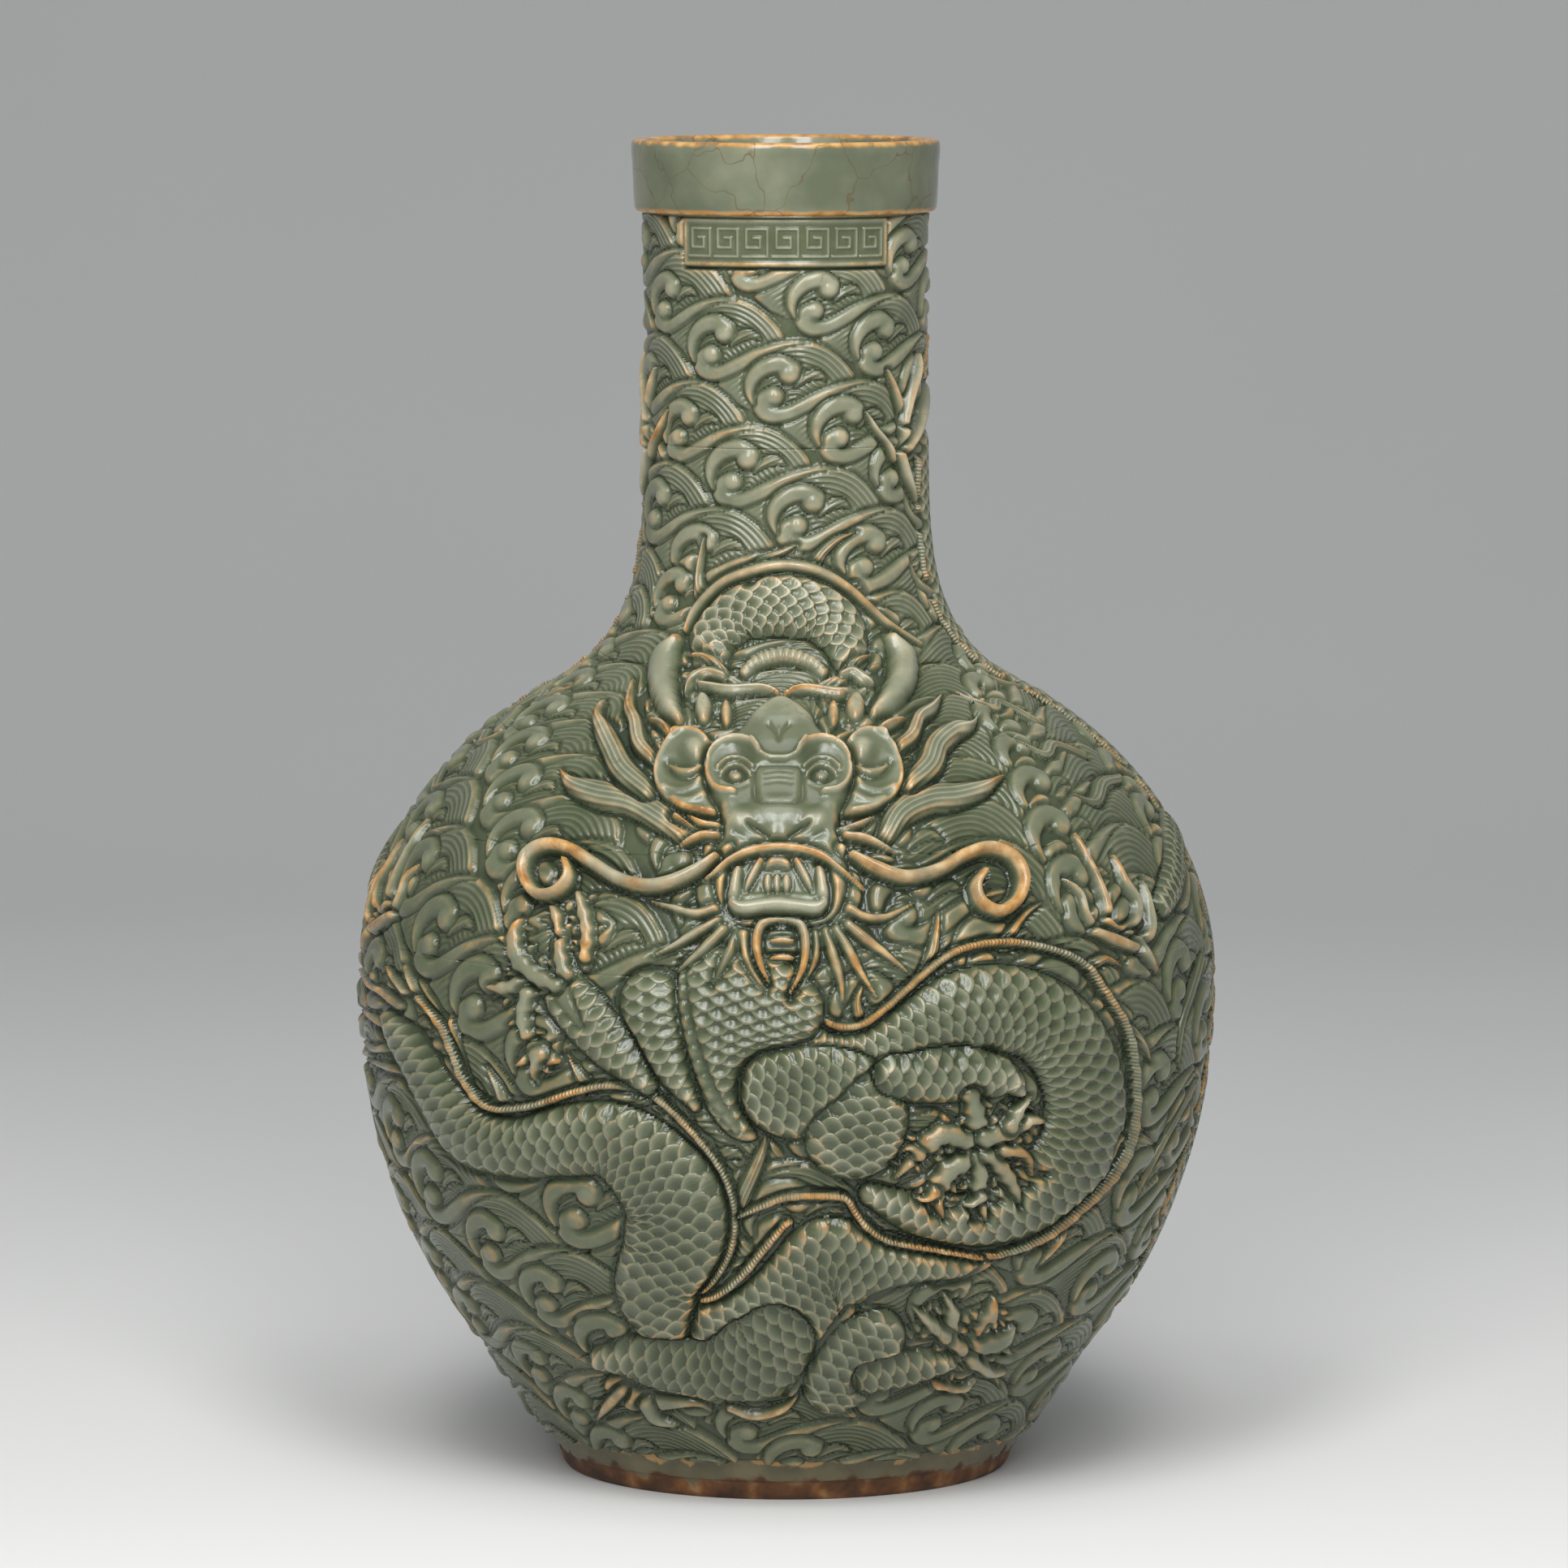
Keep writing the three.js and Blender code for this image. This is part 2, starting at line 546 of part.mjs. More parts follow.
// Lines round the outside of a ring from below: its bends, or the crests of its waves and their troughs.
function linesOutside({ outside, waved }) {
  const low = outside[0] + SLIP / 2;
  const high = outside.at(-1) - SLIP / 2;
  const bends = [low, ...outside.slice(1, -1), high];
  if (!waved) return bends.map((z) => ({ height: () => z, lift: 0 }));
  const lines = [{ height: () => high, lift: 0 }];
  let above = () => high;
  for (const row of waveRows().filter(({ z }) => z < high - WAVE_MARGIN && z > low + WAVE_MARGIN)) {
    const over = above;
    const crest = (azimuth) => crestHeight(row, azimuth);
    const trough = (azimuth) => crest(azimuth) + TROUGH_SHARE * (over(azimuth) - crest(azimuth));
    lines.push({ height: trough, lift: WAVE_TROUGH }, { height: crest, lift: WAVE_CREST });
    above = crest;
  }
  lines.push({ height: () => low, lift: 0 });
  return lines.reverse();
}

function roundTheWall({ height, lift }) {
  return Array.from({ length: LATHE_SEGMENTS }, (_, i) => {
    const azimuth = (360 * i) / LATHE_SEGMENTS;
    return wallPoint(azimuth, height(azimuth), lift);
  });
}

function circle(radius, z) {
  return Array.from({ length: LATHE_SEGMENTS }, (_, i) => {
    const angle = (2 * Math.PI * i) / LATHE_SEGMENTS;
    return new THREE.Vector3(radius * Math.sin(angle), -radius * Math.cos(angle), z);
  });
}

// One thrown ring of the wall, half a slip joint short at each end.
function wallRing(ring) {
  const high = ring.inside[0] - SLIP / 2;
  const low = ring.inside.at(-1) + SLIP / 2;
  const bends = [high, ...ring.inside.slice(1, -1), low];
  return loft([...linesOutside(ring).map(roundTheWall), ...bends.map((z) => circle(innerRadius(z), z))]);
}

// The whole wall as one plug, a slip joint larger all over, which cuts the seats of the sprigs.
function sprigSeat() {
  const lines = Object.values(RINGS).flatMap(linesOutside);
  const seats = lines.map(({ height, lift }) => roundTheWall({ height, lift: lift + SLIP }));
  const top = NECK_TOP_Z + SLIP;
  const rings = [circle(FOOT_TOP_RADIUS + SLIP, 0), ...seats, circle(wallRadius(NECK_TOP_Z) + SLIP, top)];
  return loft(rings, new THREE.Vector3(), new THREE.Vector3(0, 0, top));
}

function footRing() {
  const top = FOOT_HEIGHT - SLIP / 2;
  return latheGeometry([
    [FOOT_INNER_RADIUS, 0],
    [FOOT_BOTTOM_RADIUS - FOOT_CHAMFER, 0],
    [FOOT_BOTTOM_RADIUS, FOOT_CHAMFER],
    [FOOT_TOP_RADIUS, top - FOOT_CHAMFER],
    [FOOT_TOP_RADIUS - FOOT_CHAMFER, top],
    [FOOT_INNER_RADIUS, top],
  ]);
}

function floorSlab() {
  const radius = FOOT_INNER_RADIUS - SLIP;
  const top = FOOT_HEIGHT - SLIP;
  return latheGeometry([
    [0, top - FLOOR_THICKNESS],
    [radius, top - FLOOR_THICKNESS],
    [radius, top],
    [0, top],
  ]);
}

function mouthRim() {
  const bottom = NECK_TOP_Z + SLIP / 2;
  const top = NECK_TOP_Z + RIM_HEIGHT;
  const base = RIM_RADIUS - RIM_TAPER;
  return latheGeometry([
    [innerRadius(NECK_TOP_Z), bottom],
    [base - RIM_LIP_ROUND, bottom],
    [base, bottom + RIM_LIP_ROUND],
    [RIM_RADIUS, top - RIM_LIP_ROUND],
    ...LIP_ANGLES.map((degrees) => {
      const a = THREE.MathUtils.degToRad(degrees);
      return [RIM_RADIUS - RIM_LIP_ROUND * (1 - Math.cos(a)), top - RIM_LIP_ROUND * (1 - Math.sin(a))];
    }),
    [RIM_RADIUS - RIM_LIP_ROUND, top],
    [MOUTH_RADIUS + RIM_LIP_ROUND, top],
    [MOUTH_RADIUS, top - RIM_LIP_ROUND],
    [innerRadius(NECK_TOP_Z) + MOUTH_LEDGE, top - MOUTH_DEPTH],
  ]);
}

// The raised tablet under the rim. Its place for a mark stays bare.
function markTablet() {
  const top = NECK_TOP_Z - TABLET_DROP;
  const section = (grow, lift) =>
    Array.from({ length: TABLET_SECTIONS + 1 }, (_, i) => {
      const azimuth = (TABLET_HALF_ANGLE + grow) * ((2 * i) / TABLET_SECTIONS - 1);
      return [
        wallPoint(azimuth, top - TABLET_HEIGHT - grow, -SPRIG_BURY),
        wallPoint(azimuth, top - TABLET_HEIGHT - grow, lift),
        wallPoint(azimuth, top + grow, lift),
        wallPoint(azimuth, top + grow, -SPRIG_BURY),
      ];
    });
  return { body: loftedEnds(section(0, TABLET_THICKNESS)), cutter: loftedEnds(section(SLIP, CUTTER_TOP)) };
}

const celadon = new THREE.MeshStandardMaterial({ color: 0x7d9180, roughness: 0.22, metalness: 0 });
const dragonCeladon = new THREE.MeshStandardMaterial({ color: 0x93a08c, roughness: 0.22, metalness: 0 });
const browningCeladon = new THREE.MeshStandardMaterial({ color: 0xb08a5c, roughness: 0.3, metalness: 0 });

function geometryOf(solid) {
  const mesh = solid.getMesh();
  const positions = new Float32Array(mesh.numVert * 3);
  for (let i = 0; i < mesh.numVert; i++)
    for (let k = 0; k < 3; k++) positions[3 * i + k] = mesh.vertProperties[mesh.numProp * i + k];
  const geometry = new THREE.BufferGeometry();
  geometry.setAttribute("position", new THREE.BufferAttribute(positions, 3));
  geometry.setIndex(new THREE.BufferAttribute(new Uint32Array(mesh.triVerts), 1));
  geometry.computeVertexNormals();
  return geometry;
}

function add(group, name, geometry, material) {
  const mesh = new THREE.Mesh(geometry, material);
  mesh.name = name;
  group.add(mesh);
}

const sprigs = {
  mark_tablet: markTablet(),
  ...earsAndHorns("front_dragon", onFront(0)),
  ...coilingDragon("front_dragon", onFront(0)),
  ...climbingDragon("right_dragon", onSide(1, 0)),
  ...climbingDragon("left_dragon", onSide(-1, LEFT_FURTHER_ROUND)),
  ...coilingDragon("back_dragon", onFront(180)),
};
const browned = /whisker|claw|tablet/;

const vase = new THREE.Group();
add(vase, "foot_ring", footRing(), browningCeladon);
add(vase, "floor_slab", floorSlab(), browningCeladon);
for (const [name, ring] of Object.entries(RINGS))
  add(vase, name, geometryOf(wallRing(ring)), celadon);
add(vase, "mouth_rim", mouthRim(), celadon);
for (const [name, solid] of Object.entries(laidOver(sprigs, sprigSeat())))
  add(vase, name, geometryOf(solid), browned.test(name) ? browningCeladon : dragonCeladon);

export default vase;
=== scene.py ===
# Looks of a celadon celestial-globe vase with a coiling dragon in high relief among waves.
# The relief is one height field over the wall, and wall rings and luted sprigs are cut from it as closed meshes.
import math

import bpy
import numpy as np
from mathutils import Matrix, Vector


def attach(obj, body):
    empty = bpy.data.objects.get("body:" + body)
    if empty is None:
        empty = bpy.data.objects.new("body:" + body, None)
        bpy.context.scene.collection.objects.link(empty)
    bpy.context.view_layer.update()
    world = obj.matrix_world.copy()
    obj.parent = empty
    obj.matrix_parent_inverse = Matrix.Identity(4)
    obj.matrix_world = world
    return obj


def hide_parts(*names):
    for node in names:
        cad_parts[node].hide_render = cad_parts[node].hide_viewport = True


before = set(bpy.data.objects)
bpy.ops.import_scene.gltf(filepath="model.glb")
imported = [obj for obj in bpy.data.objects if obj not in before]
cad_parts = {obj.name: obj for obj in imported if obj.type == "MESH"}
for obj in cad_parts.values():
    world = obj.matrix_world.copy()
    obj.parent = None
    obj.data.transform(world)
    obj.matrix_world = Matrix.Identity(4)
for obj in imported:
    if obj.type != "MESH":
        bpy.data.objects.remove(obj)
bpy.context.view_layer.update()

# The wall, in millimetres, as thrown.
FOOT_HEIGHT = 13.5
BOWL_BOTTOM_RADIUS = 75.0
TAPER_TOP_Z = 40.0
BELLY_RADIUS = 129.5
BELLY_Z = 150.0
BELLY_DROP = 157.5
BELLY_RISE = 107.5
SHOULDER_TOP_Z = 240.0
NECK_RADIUS = 40.0
NECK_FLARE = 1.4
NECK_TOP_Z = 386.0
WALL_THICKNESS = 6.0
BOWL_JOINT_Z = 82.0
BELLY_JOINT_Z = 165.0
NECK_JOINT_Z = 250.0
FOOT_BOTTOM_RADIUS = 69.0
FOOT_TOP_RADIUS = 73.6
FOOT_INNER_RADIUS = 60.0
RIM_TOP_Z = 408.0
RIM_RADIUS = 47.2
MOUTH_RADIUS = 42.0

# The viewer who sees the front view, and the front view's pixels.
VIEWER_DISTANCE = 2590.0
VIEWER_HEIGHT = 487.0
VIEWER_TILT = 0.1065
FOCAL_PIXELS = 10445.0
IMAGE_SIDE = 1932
AXIS_PIXEL = 968.0
MM_PER_PIXEL = 0.25

# The height field: columns round the wall and rows up it. A sprig takes or leaves whole blocks of cells. MOAT
# is how far the groove round a form reaches, in millimetres. The reaches of sheets are in degrees and columns.
COLUMNS = 1200
ROW_STEP = 0.62
MOAT = 0.95
BLOCK = 4
SEAT_DEPTH = -2.4
FRONT_REACH = 97
SIDE_REACH = 210


# Profile of the wall

def wall_radius(z):
    z = np.asarray(z, float)

    def ellipse(h):
        half = np.where(h < BELLY_Z, BELLY_DROP, BELLY_RISE)
        return BELLY_RADIUS * np.sqrt(np.maximum(0, 1 - ((h - BELLY_Z) / half) ** 2))

    taper_top = ellipse(np.float64(TAPER_TOP_Z))
    share = (z - FOOT_HEIGHT) / (TAPER_TOP_Z - FOOT_HEIGHT)
    taper = BOWL_BOTTOM_RADIUS + (taper_top - BOWL_BOTTOM_RADIUS) * share
    shoulder = ellipse(np.float64(SHOULDER_TOP_Z))
    slope = BELLY_RADIUS**2 * (SHOULDER_TOP_Z - BELLY_Z) / (BELLY_RISE**2 * shoulder)
    swell = shoulder - NECK_RADIUS
    up = z - SHOULDER_TOP_Z
    flare = NECK_FLARE * up / (NECK_TOP_Z - SHOULDER_TOP_Z)
    neck = NECK_RADIUS + flare + swell * np.exp(-slope / swell * np.maximum(up, 0))
    return np.where(z < TAPER_TOP_Z, taper, np.where(z <= SHOULDER_TOP_Z, ellipse(z), neck))


def wall_slope(z, step=0.01):
    return (wall_radius(z + step) - wall_radius(z - step)) / (2 * step)


FINE_Z = np.linspace(FOOT_HEIGHT, NECK_TOP_Z, 20001)
FINE_ARC = np.concatenate([[0], np.cumsum(np.hypot(np.diff(FINE_Z), np.diff(wall_radius(FINE_Z))))])
ROWS = int(round(FINE_ARC[-1] / ROW_STEP)) + 1
ARC = np.linspace(0, FINE_ARC[-1], ROWS)
ROW_Z = np.interp(ARC, FINE_ARC, FINE_Z)
ROW_RADIUS = wall_radius(ROW_Z)
ROW_SLOPE = wall_slope(ROW_Z)
AZIMUTH = np.radians(np.arange(COLUMNS) * 360.0 / COLUMNS - 180.0)


def photo_point(x, y, z):
    """Pixels of the front view at which a point, in millimetres, is seen."""
    away = y + VIEWER_DISTANCE
    above = z - VIEWER_HEIGHT
    depth = away * math.cos(VIEWER_TILT) - above * math.sin(VIEWER_TILT)
    up = above * math.cos(VIEWER_TILT) + away * math.sin(VIEWER_TILT)
    return AXIS_PIXEL + FOCAL_PIXELS * x / depth, IMAGE_SIDE / 2 - FOCAL_PIXELS * up / depth


class Sheet:
    """Where forms are drawn: for a run of columns, the pixels of a drawing at which each grid point lies."""

    def __init__(self, x, y, first):
        self.x, self.y, self.first = x, y, first


def front_sheet():
    first = int(COLUMNS * (180 - FRONT_REACH) / 360)
    azimuth = AZIMUTH[None, first:COLUMNS - first]
    radius = ROW_RADIUS[:, None]
    x, y = photo_point(radius * np.sin(azimuth), -radius * np.cos(azimuth), ROW_Z[:, None] + 0 * azimuth)
    return Sheet(x, y, first)


def side_sheet(side, turn):
    """A side laid flat: pixels run from the side's middle towards the back, and down the wall."""
    middle = int(COLUMNS * (180 + side * (90 + turn)) / 360)
    first = middle - SIDE_REACH
    columns = np.arange(first, middle + SIDE_REACH)
    azimuth = columns[None, :] * 2 * math.pi / COLUMNS - math.pi - side * math.radians(90 + turn)
    x = side * azimuth * ROW_RADIUS[:, None] / MM_PER_PIXEL
    return Sheet(x, -ARC[:, None] / MM_PER_PIXEL + 0 * x, first)


def on_side(degrees, z):
    """Pixels on the side sheet of a place given by its azimuth in degrees and its height in millimetres."""
    radius = float(np.interp(z, ROW_Z, ROW_RADIUS))
    return math.radians(degrees - 90) * radius / MM_PER_PIXEL, -float(np.interp(z, ROW_Z, ARC)) / MM_PER_PIXEL


FRONT = front_sheet()
drawing = FRONT


# Curves and outlines, in the pixels of a drawing. Curves are sampled about every few pixels.

CURVE_STEP, OUTLINE_STEP, FINE_STEP, SIDE_RIDGE_STEP = 4.0, 6.0, 3.0, 40.0
FAR = 1e18


def smooth(points, step=CURVE_STEP, closed=False):
    """A Catmull-Rom curve through points of any width of tuple, sampled about every step pixels."""
    p = np.array(points, float)
    before, after = (p[-1:], p[:2]) if closed else (2 * p[0] - p[1], 2 * p[-1] - p[-2])
    ring = np.vstack([before, p, after])
    out = []
    for a, b, c, d in zip(ring[:-3], ring[1:-2], ring[2:-1], ring[3:]):
        n = max(2, int(np.hypot(*(c - b)[:2]) / step))
        t = np.linspace(0, 1, n, endpoint=False)[:, None]
        bend, twist = 2 * a - 5 * b + 4 * c - d, 3 * b - a - 3 * c + d
        out.append(0.5 * (2 * b + (c - a) * t + bend * t**2 + twist * t**3))
    if not closed:
        out.append(p[-1:])
    return np.vstack(out)


def along_curve(curve, x, y):
    """For each point: millimetres along the curve, which runs on straight past its ends, millimetres aside of
    it with a sign, and the half width there."""
    best = np.full(x.shape, FAR)
    along = np.zeros(x.shape)
    side = np.ones(x.shape)
    half = np.zeros(x.shape)
    lengths = np.hypot(np.diff(curve[:, 0]), np.diff(curve[:, 1]))
    starts = np.concatenate([[0], np.cumsum(lengths)])
    for i in range(len(curve) - 1):
        ax, ay, aw = curve[i]
        bx, by, bw = curve[i + 1]
        dx, dy, length = bx - ax, by - ay, max(lengths[i], 1e-6)
        rx, ry = x - ax, y - ay
        on = (rx * dx + ry * dy) / length**2
        t = np.clip(on, 0, 1)
        d2 = (rx - t * dx) ** 2 + (ry - t * dy) ** 2
        near = d2 < best
        best = np.where(near, d2, best)
        on = np.clip(on, None if i == 0 else 0, None if i == len(curve) - 2 else 1)
        along = np.where(near, starts[i] + on * length, along)
        side = np.where(near, np.sign(dx * ry - dy * rx), side)
        half = np.where(near, aw + (bw - aw) * t, half)
    return along * MM_PER_PIXEL, np.sqrt(best) * side * MM_PER_PIXEL, half * MM_PER_PIXEL


def straight_aside(curve, along, aside):
    """The distance aside of the curve, measured square to it past its ends too."""
    total = np.hypot(np.diff(curve[:, 0]), np.diff(curve[:, 1])).sum() * MM_PER_PIXEL
    past = np.maximum(np.maximum(-along, along - total), 0)
    return np.sign(aside) * np.sqrt(np.maximum(aside**2 - past**2, 0))


def inside_outline(outline, x, y):
    """Signed distance in millimetres to a closed outline, positive inside."""
    best = np.full(x.shape, FAR)
    odd = np.zeros(x.shape, bool)
    for (ax, ay), (bx, by) in zip(outline, np.roll(outline, -1, axis=0)):
        dx, dy = bx - ax, by - ay
        t = np.clip(((x - ax) * dx + (y - ay) * dy) / max(dx * dx + dy * dy, 1e-9), 0, 1)
        best = np.minimum(best, (x - ax - t * dx) ** 2 + (y - ay - t * dy) ** 2)
        crosses = (ay > y) != (by > y)
        odd ^= crosses & (x < ax + (y - ay) / (dy if dy else 1e-9) * dx)
    return np.sqrt(best) * np.where(odd, 1, -1) * MM_PER_PIXEL


# The height field and what is laid on it

height = np.zeros((ROWS, COLUMNS))
owner = np.zeros((ROWS, COLUMNS), np.int16)
owners = ["wall"]

# Patterns finer than the grid, which the glaze draws: comb lines (cycles across, strength) and scales (rows
# along, scales across, strength). Both fade over some millimetres, inside a form's edge and outside it.
FADE_INSIDE = 0.9
FADE_OUTSIDE = 0.7
COMB, COMBED, SCALE_ROW, SCALE_ACROSS, SCALED = range(5)
pattern = np.zeros((5, ROWS, COLUMNS))


def owner_number(name):
    if name not in owners:
        owners.append(name)
    return owners.index(name)


def lay(rows, cols, edge, top, name, sink, rise, comb=None, scale=None):
    """Lays a form on what is there. edge is the distance inside its outline, top its height over the wall.
    sink says how deep the groove round it cuts into what lies below, and rise how wide its edge rounds up."""
    below = height[rows, cols]
    groove = np.exp(-((np.minimum(edge, 0) / MOAT) ** 2))
    foot = below * (1 - sink)
    up = np.clip(edge / rise, 0, 1)
    up = np.sqrt(1 - (1 - up) ** 2)
    height[rows, cols] = np.where(edge > 0, foot + (top - foot) * up, below * (1 - sink * groove))
    for layer, value in ((COMB, comb), (SCALE_ROW, scale and scale[0]), (SCALE_ACROSS, scale and scale[1])):
        if value is not None:
            pattern[layer, rows, cols] = np.where(edge > 0, value, pattern[layer, rows, cols])
    for layer, value in ((COMBED, comb), (SCALED, scale)):
        strength = 0 * edge if value is None else np.clip(edge / FADE_INSIDE, 0, 1)
        faded = pattern[layer, rows, cols] * np.clip(-edge / FADE_OUTSIDE, 0, 1)
        pattern[layer, rows, cols] = np.where(edge > 0, strength, faded)
    owner[rows, cols] = np.where(edge > 0, owner_number(name), owner[rows, cols])


MARGIN = 14


def window(xs, ys, margin=MARGIN):
    """Rows and columns that the drawing shows in a box round the given pixels, and their pixels."""
    x, y = drawing.x, drawing.y
    hit = (x > min(xs) - margin) & (x < max(xs) + margin) & (y > min(ys) - margin) & (y < max(ys) + margin)
    rows = np.flatnonzero(hit.any(1))
    cols = np.flatnonzero(hit.any(0))
    rows, cols = slice(rows[0], rows[-1] + 1), slice(cols[0], cols[-1] + 1)
    on_wall = slice(cols.start + drawing.first, cols.stop + drawing.first)
    return rows, on_wall, x[rows, cols], y[rows, cols]


def mirrored_sheet(sheet, turn):
    """A sheet's mirror image, turned round the wall by degrees, for forms that both sides have."""
    return Sheet(sheet.x[:, ::-1], sheet.y[:, ::-1], sheet.first + int(round(turn * COLUMNS / 360)))


# How deep a groove is round a form unless the form says so, how much lower a strap's crown is at its edge, over
# what share of its half width the edge rounds up, and how far a mound is reckoned, in its own radii.
SINK = 0.75
CROWN_FALL = 0.62
EDGE_SHARE = 0.9
MOUND_REACH = 2.2


def strap(points, top, name, crown, sink=SINK, rise=None, detail=None):
    """A form along a curve of (x, y, half width): limbs, locks, fins, ridges and whiskers."""
    curve = smooth(points)
    curve[:, 2] = np.maximum(curve[:, 2], 0.2)
    widest = curve[:, 2].max()
    rows, cols, x, y = window(curve[:, 0], curve[:, 1], widest + MARGIN)
    along, aside, half = along_curve(curve, x, y)
    edge = half - np.abs(aside)
    across = np.clip(aside / np.maximum(half, 0.05), -1, 1)
    surface = top + crown * (1 - CROWN_FALL * across**2)
    drawn = detail(along, straight_aside(curve, along, aside), half, edge) if detail else {}
    rise = rise or widest * MM_PER_PIXEL * EDGE_SHARE
    lay(rows, cols, edge, surface + drawn.pop("add", 0), name, sink, rise, **drawn)


def closed_ring(outline):
    return smooth([(*p, 0) for p in outline], OUTLINE_STEP, closed=True)[:, :2]


def patch(outline, top, name, crown, reach, sink=SINK, rise=1.6, detail=None):
    """A form inside an outline, which crowns towards its middle over reach millimetres."""
    ring = closed_ring(outline)
    rows, cols, x, y = window(ring[:, 0], ring[:, 1])
    edge = inside_outline(ring, x, y)
    inward = np.clip(edge / reach, 0, 1)
    surface = top + crown * np.sqrt(1 - (1 - inward) ** 2)
    drawn = detail(x, y, edge) if detail else {}
    lay(rows, cols, edge, surface + drawn.pop("add", 0), name, sink, rise, **drawn)


def dome(cx, cy, rx, ry, lift, power=2.0):
    """Adds a soft mound to what is there, or a soft bowl, without an outline of its own."""
    reach = max(rx, ry) * MOUND_REACH
    rows, cols, x, y = window((cx - reach, cx + reach), (cy - reach, cy + reach), 0)
    u, v = (x - cx) / rx, (y - cy) / ry
    height[rows, cols] += lift * np.exp(-((u * u + v * v) ** (power / 2)))


def groove(points, lift, half=3.0):
    """Adds a soft line along a curve: cut in where lift is below nought, raised where above."""
    curve = smooth([(*p, half) for p in points], FINE_STEP)
    rows, cols, x, y = window(curve[:, 0], curve[:, 1], half * 4)
    _, aside, _ = along_curve(curve, x, y)
    height[rows, cols] += lift * np.exp(-((aside / (half * MM_PER_PIXEL)) ** 2))


# Surface details along a form: a height that is added, and the lines or scales that the glaze draws on it.
# Pitches and widths are in millimetres, and a scale's bow and length are in rows.

SCALE_WIDTH = 8.6
SCALE_PITCH = 2.15
SCALE_BOW = 1.5
SCALE_LENGTH = 1.7


def scale_height(row, across):
    """Overlapping scales: 1 at a scale's free edge, falling back to where the one before it covers it."""
    first = np.ceil(row)
    gap = None
    for r in (first + 2, first + 1, first):
        shifted = across + 0.5 * np.mod(r, 2)
        here = r - 4 * SCALE_BOW * (shifted - np.floor(shifted) - 0.5) ** 2 - row
        gap = here if gap is None else np.where(here > 0, here, gap)
    return 1 - np.clip(gap / SCALE_LENGTH, 0, 1)


def scales(flow=1, lift=0.6, pitch=SCALE_PITCH, width=SCALE_WIDTH):
    """Scales whose free edges point along the form, or against it where flow is -1."""
    def detail(along, aside, half, edge):
        row = flow * along / pitch
        across = aside / width
        add = lift * (scale_height(row, across) - 0.5) * np.clip(edge / 1.5 - 0.4, 0, 1)
        return {"add": add, "scale": (row, across)}
    return detail


def hair(pitch=1.4):
    """Comb lines along the form."""
    def detail(along, aside, half, edge):
        return {"comb": aside / pitch}
    return detail


def plates(pitch, lift=0.7):
    """Belly plates that cross the form."""
    def detail(along, aside, half, edge):
        f = np.mod(along / pitch, 1)
        return {"add": lift * (np.sqrt(np.clip(1 - (2 * f - 1) ** 2, 0, 1)) - 0.5)}
    return detail


HATCH_PITCH = 1.1
CREST_WANDER = 0.3


def hatched(along, aside, half, edge):
    """Short strokes across a ridge, whose crest wanders in height."""
    return {"add": CREST_WANDER * np.sin(along * 1.1) * np.sin(along * 0.37 + 1), "comb": along / HATCH_PITCH}


def scaled_from(axis):
    """Scales that follow a line through a form given by its outline."""
    curve = smooth(axis)
    laid = scales()

    def detail(x, y, edge):
        along, aside, half = along_curve(curve, x, y)
        return laid(along, straight_aside(curve, along, aside), half, edge)
    return detail


# Waves

WAVE_WIDTH = 50.0
WAVE_PITCH = 12.9
WAVE_SHIFT = 0.38
TOP_WAVE_Z = 382.6
TOP_WAVE_AZIMUTH = -115.8
BELLY_WAVE_GROWTH = 0.22
TILE_STEP = 0.25
TILE_LEFT, TILE_RIGHT, TILE_LOW, TILE_HIGH = -8.5, 48.0, -20.0, 14.5

# One wave, in millimetres from the head of its low hook: the hook swells into a crest, a combed fan falls away
# from the crest, and a small hook stands on the low one. A third number is a half width.
CREST = [
    (0.2, 0.9, 2.6), (-1.8, -0.6, 2.8), (-2.2, -2.9, 2.9), (-0.2, -4.8, 2.7), (3.0, -4.9, 2.5),
    (6.0, -4.0, 2.4), (10.5, -1.7, 2.4), (15.0, 0.9, 2.1), (20.0, 3.1, 1.6), (25.0, 4.4, 1.1),
    (30.0, 4.7, 0.5),
]
KNOB = (0.8, 0.5, 3.2)
SMALL_HOOK = [
    (-5.0, -1.4, 0.8), (-5.9, 2.0, 1.7), (-5.0, 5.8, 2.4), (-1.8, 9.0, 2.8), (2.6, 10.1, 3.0),
    (5.8, 8.4, 3.0),
]
SMALL_KNOB = (5.2, 7.4, 3.4)
SPOUT = [(7.0, 3.4, 0.5), (10.4, 6.6, 1.7), (13.4, 7.0, 1.5), (16.0, 5.4, 0.4)]
FAN_OUTLINE = [
    (4.0, -6.0), (6.0, -2.4), (10.5, 0.5), (15.0, 3.0), (20.0, 4.9), (25.0, 5.7), (30.0, 5.3), (35.0, 3.3),
    (39.0, 0.3), (43.0, -4.4), (45.5, -10.0), (46.0, -17.0), (34.0, -19.0), (24.0, -18.5), (14.0, -16.5),
    (7.0, -13.5), (2.0, -9.0),
]
FAN_SPINE = [
    (-2.0, -6.6, 1), (1.5, -5.0, 1), (6.0, -2.2, 1), (10.5, 0.6, 1), (15.0, 3.0, 1), (20.0, 4.9, 1),
    (25.0, 5.7, 1), (30.0, 5.3, 1), (35.0, 3.3, 1), (39.0, 0.3, 1), (43.0, -4.4, 1), (45.5, -10.0, 1),
    (46.5, -19.0, 1),
]
COMB_PITCH = 1.6
OPEN = -3.0


